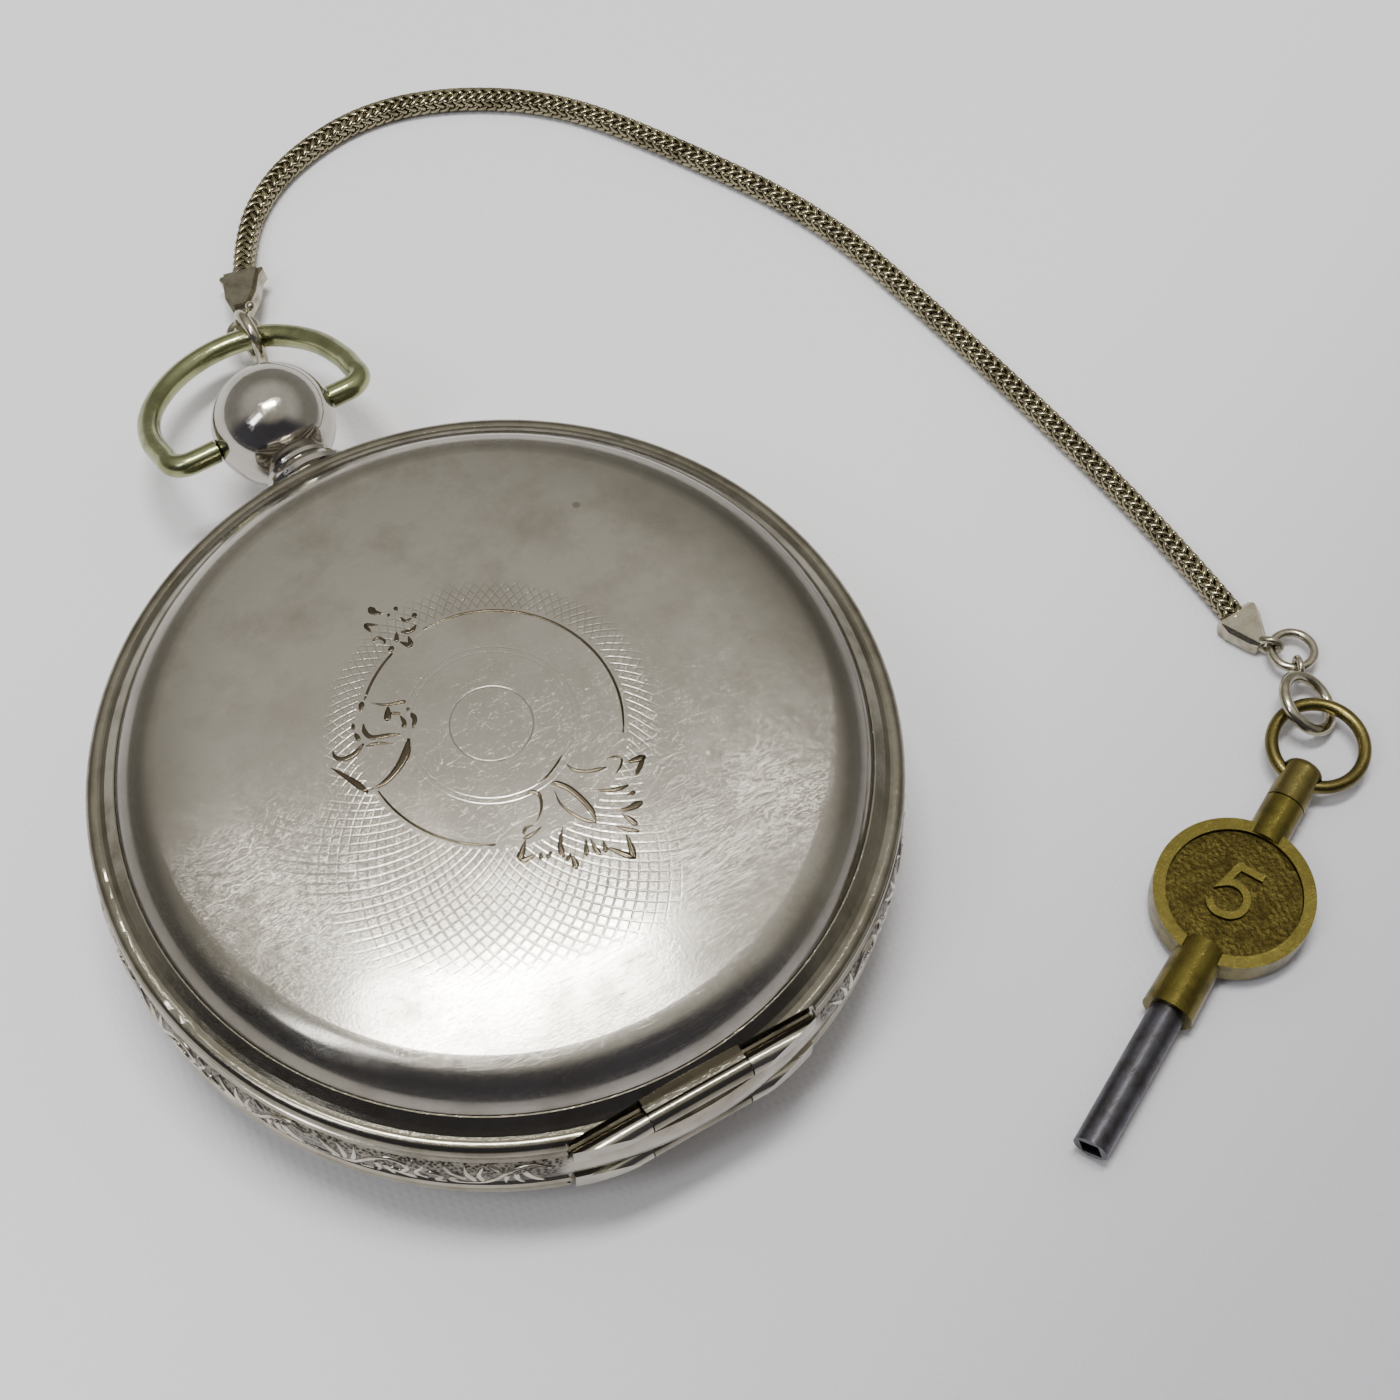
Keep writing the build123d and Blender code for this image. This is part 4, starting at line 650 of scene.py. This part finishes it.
def dress(tree, geometry, metal, result):
    """Gives a tree's shape its material and hands it over."""
    dressed = put(tree, "GeometryNodeSetMaterial", inputs={"Geometry": geometry, "Material": metal})
    tree.links.new(dressed.outputs[0], result.inputs[0])


def blank(name):
    """An empty mesh for a tree to grow in."""
    made = bpy.data.objects.new(name, bpy.data.meshes.new(name))
    bpy.context.scene.collection.objects.link(made)
    return made


def stamp(name, points, faces, material):
    """A shape to be repeated: a mesh object that is taken away once the tree has used it."""
    return mesh_piece(name, points, faces, material)


# %% [markdown]
# ## Chased leaves round the band
# One length of ornament, a scroll with leaves above and below it, goes round the band nineteen
# times, every second one upside down. The tree lays the copies in a straight row and then wraps the
# row round the case: a point's distance along the row becomes its angle, and its height becomes its
# distance from the middle. The row stops at the hinge and under the pendant.

# %% Wrap the ornament round the band
SCROLL = [
    (0.22, 0.42, (-3.9, -1.0), (-2.6, -1.5), (-1.2, -0.9), (-0.2, 0.3), (0.9, 1.2), (2.1, 1.2), (2.7, 0.5),
     (2.2, -0.1), (1.6, 0.25)),
    (0.6, 0.12, (-2.0, -1.0), (-2.6, 0.2), (-3.5, 1.6)),
    (0.66, 0.12, (-1.6, -0.7), (-1.7, 0.5), (-2.2, 1.75)),
    (0.6, 0.12, (-1.1, -0.5), (-0.9, 0.6), (-0.9, 1.75)),
    (0.6, 0.12, (0.5, 0.7), (0.8, -0.5), (0.4, -1.7)),
    (0.66, 0.12, (1.0, 0.6), (1.6, -0.6), (1.7, -1.75)),
    (0.6, 0.12, (1.6, 0.1), (2.6, -0.7), (3.2, -1.7)),
    (0.2, 0.32, (3.0, 1.7), (3.7, 1.0), (3.2, 0.2), (4.0, -0.6)),
    (0.3, 0.1, (-0.6, -1.0), (-0.1, -1.5), (0.2, -1.8)),
]


def flat_row(u, v, height):
    """A point of the straight row: along x, up z, outwards y."""
    return Vector((u, height, v)) * MM


BAND_RADIUS, BAND_FALL = 28.0, 0.107    # the band's field falls off by 0.107 mm per mm squared of height
LEAVES, SPACE = 19, 8.15
PENDANT_ROOM = 3.9                      # no leaf grows this near the pendant, along the band
tree, given, result = new_tree("wrapped row", Count="NodeSocketInt", Spacing="NodeSocketFloat",
                               Radius="NodeSocketFloat", Start="NodeSocketFloat",
                               Ornament="NodeSocketObject", Metal="NodeSocketMaterial")
start = put(tree, "ShaderNodeCombineXYZ", inputs={0: given.outputs["Start"]})
step = put(tree, "ShaderNodeCombineXYZ", inputs={0: given.outputs["Spacing"]})
row = put(tree, "GeometryNodeMeshLine", {"mode": "OFFSET"},
          {"Count": given.outputs["Count"], "Start Location": start.outputs[0], "Offset": step.outputs[0]})
middle = maths(tree, "MULTIPLY", given.outputs["Radius"], math.pi)
row_x = put(tree, "ShaderNodeSeparateXYZ", inputs={0: put(tree, "GeometryNodeInputPosition").outputs[0]})
under_pendant = maths(tree, "LESS_THAN", maths(tree, "ABSOLUTE", maths(
    tree, "SUBTRACT", row_x.outputs[0], middle)), PENDANT_ROOM * MM)
row = put(tree, "GeometryNodeDeleteGeometry",
          inputs={"Geometry": row.outputs[0], "Selection": under_pendant})
odd = maths(tree, "MODULO", put(tree, "GeometryNodeInputIndex").outputs[0], 2.0)
flip = put(tree, "ShaderNodeCombineXYZ", inputs={1: maths(tree, "MULTIPLY", odd, math.pi)})
real = copies_on(tree, row.outputs[0], given.outputs["Ornament"], flip.outputs[0])
at = put(tree, "ShaderNodeSeparateXYZ", inputs={0: put(tree, "GeometryNodeInputPosition").outputs[0]})
angle = maths(tree, "DIVIDE", at.outputs[0], given.outputs["Radius"])
fall = maths(tree, "MULTIPLY", maths(tree, "MULTIPLY", at.outputs[2], at.outputs[2]), BAND_FALL / MM)
reach = maths(tree, "SUBTRACT", maths(tree, "ADD", given.outputs["Radius"], at.outputs[1]), fall)
nearer = maths(tree, "MULTIPLY", maths(tree, "COSINE", angle), -1.0)
wrapped = put(tree, "ShaderNodeCombineXYZ",
              inputs={0: maths(tree, "MULTIPLY", reach, maths(tree, "SINE", angle)),
                      1: maths(tree, "MULTIPLY", reach, nearer),
                      2: maths(tree, "ADD", at.outputs[2], BAND_MIDDLE * MM)})
bent = put(tree, "GeometryNodeSetPosition", inputs={"Geometry": real, "Position": wrapped.outputs[0]})
dress(tree, bent.outputs[0], given.outputs["Metal"], result)

leaf_silver = worn_metal("rubbed leaf silver", "#C9C3B4", "#938B79", (0.14, 0.30), 2.0, 0.2, 0.003)[0]
scroll = stamp("scroll", *join([strip(through(points, 4), a, b, ROUNDED_LEAF, flat_row)
                                for a, b, *points in SCROLL]), metal["worn silver rings"])
leaves = grown(blank("carrier"), tree, "band_leaves", Count=LEAVES, Spacing=SPACE * MM,
               Radius=BAND_RADIUS * MM,
               Start=(math.pi * BAND_RADIUS - SPACE * (LEAVES - 1) / 2) * MM, Ornament=scroll,
               Metal=leaf_silver)
bpy.data.objects.remove(scroll)
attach(leaves, "case")

# %% [markdown]
# ## The woven fob chain
# The chain is a foxtail: silver wire loops closed over each other so that its four sides show rows
# of little chevrons. It is limp and lies in one sweep on the table from the clasp to the key. Its
# line is one smooth NURBS spline, because a real chain has no corners. A dark round core follows
# that spline, and the tree sets a ring of wires at every step along it: the steps are the real
# spacing of the wires, so the count follows from the length.

# %% Chain line and core
CHAIN_ROUTE = [
    (5.66, 53.52, 1.76), (7.02, 56.45, 0.95), (9.9, 60.0, 0.95), (14.6, 62.7, 0.95), (21.6, 63.9, 0.95),
    (28.8, 61.9, 0.95), (36.3, 56.8, 0.95), (41.9, 48.4, 0.95), (48.7, 36.2, 0.95), (51.3, 24.5, 0.95),
    (54.4, 6.5, 0.95), (55.75, -5.4, 0.95), (56.0, -11.4, 0.95),
]


def chain_line(name, thick=0.0):
    """The chain's spline as a curve object, with a round section if thick isn't 0."""
    curve = bpy.data.curves.new(name, "CURVE")
    curve.dimensions, curve.twist_mode = "3D", "Z_UP"
    spline = curve.splines.new("NURBS")
    spline.points.add(len(CHAIN_ROUTE) - 1)
    for point, place in zip(spline.points, CHAIN_ROUTE):
        point.co = (*[c * MM for c in place], 1.0)
    spline.order_u, spline.use_endpoint_u = 3, True
    spline.resolution_u, curve.resolution_u = 12, 12
    curve.bevel_depth, curve.bevel_resolution, curve.use_fill_caps = thick * MM, 3, True
    made = bpy.data.objects.new(name, curve)
    bpy.context.scene.collection.objects.link(made)
    return made


# The core's near-black colour is painted shade for the inside of the weave, on top of the tarnish of the
# inner wires.
painted_shade_core_metal = worn_metal("tarnished silver core", "#3A3328", "#1E1A14", (0.35, 0.5), 1.0, 0.1, 0.004, 0.0)[0]
core = chain_line("chain_core", 0.64)
core.data.materials.append(painted_shade_core_metal)

# %% Chain links
PITCH = 0.80               # from one chevron to the next along the chain, mm


def link_row():
    """The wires of one step of the chain, path along z: a chevron on each of the four sides."""
    parts = []
    for quarter in range(4):
        turn = Matrix.Rotation(math.radians(90 * quarter), 3, "Z")
        for side in (1, -1):
            late = 0.0 if side > 0 else PITCH / 2
            line = through([(-0.10 * side, 0.60, 0.50 + late), (0.30 * side, 0.66, 0.12 + late),
                            (0.64 * side, 0.50, -0.42 + late)], 2)
            parts.append(tube([turn @ p * MM for p in line], 0.225 * MM, 6, [0.7, 1, 1, 1, 0.7]))
    return join(parts)


tree, given, result = new_tree("links along a line", Pitch="NodeSocketFloat", Link="NodeSocketObject",
                               Metal="NodeSocketMaterial")
steps = put(tree, "GeometryNodeCurveToPoints", {"mode": "LENGTH"},
            {"Curve": given.outputs["Geometry"], "Length": given.outputs["Pitch"]})
real = copies_on(tree, steps.outputs["Points"], given.outputs["Link"], steps.outputs["Rotation"])
dress(tree, real, given.outputs["Metal"], result)
chain_silver = worn_metal("woven silver wire", "#9C957A", "#544B3A", (0.14, 0.32), 2.2, 0.2, 0.003, 0.0)[0]
link = stamp("link", *link_row(), chain_silver)
links = grown(chain_line("route"), tree, "chain_links", Pitch=PITCH * MM, Link=link, Metal=chain_silver)
bpy.data.objects.remove(link)
for piece in (core, links):
    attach(piece, "fob")
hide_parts("fob_chain")

# %% [markdown]
# ## Small fittings of the rings
# Each bolt ring has a little ball on its trigger for a fingernail. They are turned shapes: a stem
# and a ball as one profile, spun about the stem's own line.

# %% Trigger balls


def trigger(name, at, axis, size):
    """A stem and ball on a bolt ring."""
    profile = [(0.0, -0.3), (0.16, -0.3), (0.16, 0.45), (0.2, 0.5)]
    profile += [(0.42 * math.sin(a), 0.88 - 0.42 * math.cos(a))
                for a in (math.radians(25 + 15.5 * i) for i in range(11))]
    knob = mesh_piece(name, *lathe([(r * size, h * size) for r, h in profile], at, axis, 20),
                      metal["worn silver rings"])
    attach(knob, "fob")
    return knob


low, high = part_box("clasp_ring")
clasp = (low + high) / 2 / MM
trigger("clasp_trigger", clasp + Vector((0.25, 0.9, 1.85)), (0.75, 0.25, 0.6), 0.9)
trigger("ring_trigger", (55.2, -20.4, 2.1), (-0.8, -0.45, 0.1), 0.9)

# %% [markdown]
# ## Printing on the dial
# The dial is hidden at rest and seen when the front cover opens. It has fired Roman numerals, a
# minute track and a small seconds ring. The strokes of a numeral are thick and thin by rule, so
# each is drawn from bars with serifs, and the sixty marks come from one tree that sets a bar at
# every step round a circle.

# %% Numerals and tracks
DIAL_TOP = 12.5            # mm
SECONDS_AT = (0.0, -11.2)
SECONDS_TOP = 12.1         # the sunk floor of the seconds ring, mm


def slab(corners, low, high):
    """A closed flat bar over four corners, in mm."""
    return skin([[Vector((x, y, h)) * MM for x, y in corners] for h in (low, high)])


def bar(x0, y0, x1, y1, width):
    """The corners of a straight stroke whose ends are cut level."""
    return [(x0 - width / 2, y0), (x0 + width / 2, y0), (x1 + width / 2, y1), (x1 - width / 2, y1)]


def numeral(text, tall=3.3, thick=0.46, thin=0.14):
    """The strokes of a Roman numeral, centred, standing on y = 0."""
    wide = {"I": 0.98, "V": 1.7, "X": 1.85}
    total = sum(wide[c] for c in text)
    strokes, x = [], -total / 2
    for c in text:
        w, m = wide[c], x + wide[c] / 2
        left, right = m - w / 2 + 0.36, m + w / 2 - 0.3
        if c == "I":
            strokes.append(bar(m, 0, m, tall, thick))
        elif c == "V":
            strokes += [bar(m - 0.05, 0, left, tall, thick), bar(m + 0.05, 0, right, tall, thin)]
        else:
            strokes += [bar(right, 0, left, tall, thick), bar(left, 0, right, tall, thin)]
        x += w
    strokes += [bar(0, h, 0, h + 0.13, total - 0.12) for h in (0.0, tall - 0.13)]
    return strokes


NUMERAL_FOOT, MINUTE_TRACK = 16.1, 20.24    # radii of the numerals' feet and of the minute marks
printing = []
for hour, text in enumerate("XII I II III IIII V VI VII VIII IX X XI".split()):
    turn = math.radians(90 - 30 * hour)
    up, side = Vector((math.cos(turn), math.sin(turn))), Vector((math.sin(turn), -math.cos(turn)))
    for stroke in numeral(text):
        if hour == 6 and min(y for _, y in stroke) < 1.2:
            continue
        corners = [tuple(up * (NUMERAL_FOOT + y) + side * x) for x, y in stroke]
        printing.append(slab(corners, DIAL_TOP - 0.02, DIAL_TOP + 0.02))
print("numeral strokes", len(printing))


def band_ring(radius, width, centre=(0.0, 0.0), steps=120):
    """A thin printed circle."""
    points, faces = [], []
    for i in range(steps):
        a = 2 * math.pi * i / steps
        for r, h in ((radius, -0.02), (radius + width, -0.02), (radius + width, 0.018), (radius, 0.018)):
            across, along = centre[0] + r * math.cos(a), centre[1] + r * math.sin(a)
            points.append(Vector((across, along, DIAL_TOP + h)) * MM)
        here, then = 4 * i, 4 * ((i + 1) % steps)
        faces += [(here + k, here + (k + 1) % 4, then + (k + 1) % 4, then + k) for k in range(4)]
    return points, faces


printing += [band_ring(19.75, 0.08), band_ring(20.65, 0.08)]
numerals = mesh_piece("dial_numerals", *join(printing), black_enamel, smooth=False)

tree, given, result = new_tree("marks round a circle", Count="NodeSocketInt", Radius="NodeSocketFloat",
                               Centre="NodeSocketVector", Mark="NodeSocketObject", Ink="NodeSocketMaterial")
circle = put(tree, "GeometryNodeMeshCircle", {"fill_type": "NONE"},
             {"Vertices": given.outputs["Count"], "Radius": given.outputs["Radius"]})
spot = put(tree, "GeometryNodeInputPosition").outputs[0]
facing = put(tree, "FunctionNodeAlignRotationToVector", {"axis": "X"}, {"Vector": spot})
real = copies_on(tree, circle.outputs[0], given.outputs["Mark"], facing.outputs[0])
moved = put(tree, "GeometryNodeSetPosition", inputs={"Geometry": real, "Offset": given.outputs["Centre"]})
dress(tree, moved.outputs[0], given.outputs["Ink"], result)


def marks(name, count, radius, centre, long, wide, top=DIAL_TOP):
    """Marks round a printed circle."""
    mark = stamp("mark", *slab([(-long / 2, -wide / 2), (long / 2, -wide / 2), (long / 2, wide / 2),
                                (-long / 2, wide / 2)], -0.02, 0.02), black_enamel)
    made = grown(blank("holder"), tree, name, Count=count, Radius=radius * MM,
                 Centre=Vector((*centre, top)) * MM, Mark=mark, Ink=black_enamel)
    bpy.data.objects.remove(mark)
    return made


dial_pieces = [numerals, marks("minute_marks", 60, MINUTE_TRACK, (0.0, 0.0), 0.9, 0.13),
               marks("five_minute_marks", 12, MINUTE_TRACK, (0.0, 0.0), 0.95, 0.42),
               marks("second_marks", 60, 4.75, SECONDS_AT, 0.5, 0.07, SECONDS_TOP),
               marks("fifteen_second_marks", 4, 4.6, SECONDS_AT, 0.8, 0.2, SECONDS_TOP)]
for piece in dial_pieces:
    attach(piece, "case")

# %% [markdown]
# ## Table and light
# The watch lies on a fine pale cloth under soft daylight. Polished silver shows the room more than
# itself, so the room matters most: a window nearly overhead, which the dome of the cover mirrors as
# a bright patch, a smaller one to the left for the far side of the cover, grey walls that grow
# lighter upwards, and a dark side behind the camera that gives the dark edge. Area lights make the
# windows, and a sky that depends on direction makes the rest.

# %% Cloth
cloth, tree, shader, place = new_material("fine white cotton cloth")
THREAD = 0.62                           # from one thread of the cloth to the next
NEAR_RIGHT = (0.35, -0.94)              # the way on the table in which the painted shade on the cloth deepens
threads = []
for angle in (0, 90):
    laid = put(tree, "ShaderNodeMapping",
               inputs={"Vector": place, "Rotation": (0, 0, math.radians(angle + 12))})
    threads.append(put(tree, "ShaderNodeTexWave", {"wave_type": "BANDS", "bands_direction": "X"},
                       {"Vector": laid.outputs[0], "Scale": 0.314 / (THREAD * MM), "Distortion": 1.5,
                        "Detail": 2.0}).outputs["Fac"])
weave = maths(tree, "MULTIPLY", *threads)
shade = put(tree, "ShaderNodeTexNoise", inputs={"Vector": place, "Scale": 14.0, "Detail": 4.0})
tone = blend(tree, shade.outputs["Fac"], colour("#F6F4F4"), colour("#EEECEE"))
# Painted shade: the flat cloth's colour is darkened a little towards its near right corner.
spread = put(tree, "ShaderNodeSeparateXYZ", inputs={"Vector": place})
painted_shade_ramp = maths(tree, "ADD", maths(tree, "MULTIPLY", spread.outputs[0], NEAR_RIGHT[0] / MM),
                 maths(tree, "MULTIPLY", spread.outputs[1], NEAR_RIGHT[1] / MM))
tone = blend(tree, between(tree, painted_shade_ramp, -4.0, 82.0), tone, colour("#BDBBC0"))
tree.links.new(tone, shader.inputs["Base Color"])
shader.inputs["Roughness"].default_value = 0.9
folds = put(tree, "ShaderNodeBump", inputs={"Height": weave, "Distance": 0.05 * MM, "Strength": 0.6})
tree.links.new(folds.outputs[0], shader.inputs["Normal"])
half = 1.5                              # half the table's side, in metres
corners = [(-half, -half, 0), (half, -half, 0), (half, half, 0), (-half, half, 0)]
table = mesh_piece("table_cloth", corners,
                   [(0, 1, 2, 3)], cloth, smooth=False)
table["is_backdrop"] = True


# %% Lights


def softbox(name, at, size, power, tint="#FFFFFF"):
    """An area light that faces the watch; at is in mm, size is its two sides in mm."""
    light = bpy.data.lights.new(name, "AREA")
    light.shape, light.size, light.size_y = "RECTANGLE", size[0] * MM, size[1] * MM
    light.energy, light.color = power, colour(tint)[:3]
    lamp = bpy.data.objects.new(name, light)
    lamp.location = Vector(at) * MM
    lamp.rotation_mode = "QUATERNION"
    lamp.rotation_quaternion = (Vector((0, 0, 10)) * MM - lamp.location).to_track_quat("-Z", "Y")
    bpy.context.scene.collection.objects.link(lamp)


def around_watch(azimuth, elevation, away):
    """A place seen from the watch: azimuth 0 is +X and 90 is +Y, in degrees."""
    a, e = math.radians(azimuth), math.radians(elevation)
    return (away * math.cos(e) * math.cos(a), away * math.cos(e) * math.sin(a), away * math.sin(e))


softbox("window", around_watch(82, 84.8, 900), (340, 110), 6.6, "#FFFFFF")
softbox("side_window", around_watch(186, 57, 900), (130, 380), 1.8, "#F4F7FF")

world = bpy.data.worlds.new("room")
bpy.context.scene.world = world
world.use_nodes = True
tree = world.node_tree
tree.nodes.clear()
BEHIND = (-0.523, -0.852)               # the way from the watch to the dark side of the room
way = put(tree, "ShaderNodeTexCoord").outputs["Generated"]
split = put(tree, "ShaderNodeSeparateXYZ", inputs={0: way})
behind = maths(tree, "ADD", maths(tree, "MULTIPLY", split.outputs[0], BEHIND[0]),
               maths(tree, "MULTIPLY", split.outputs[1], BEHIND[1]))
wall = blend(tree, between(tree, split.outputs[2], 0.40, 0.85), colour("#A3A19B"), colour("#E8E6E0"))
dark_side = maths(tree, "MULTIPLY", between(tree, behind, 0.05, 0.45),
                  between(tree, split.outputs[2], 0.80, 0.97, 1.0, 0.0))
room = blend(tree, dark_side, wall, colour("#57575E"))
sky = put(tree, "ShaderNodeBackground", inputs={"Color": room, "Strength": 1.0})
put(tree, "ShaderNodeOutputWorld", inputs={"Surface": sky.outputs[0]})

# %% [markdown]
# ## The size of the whole
# The box round everything that is shown, the table left out, is worked out and printed.

# %% Work out the size
low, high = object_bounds()
print("visual box", [round(v, 4) for v in (*low, *high)])
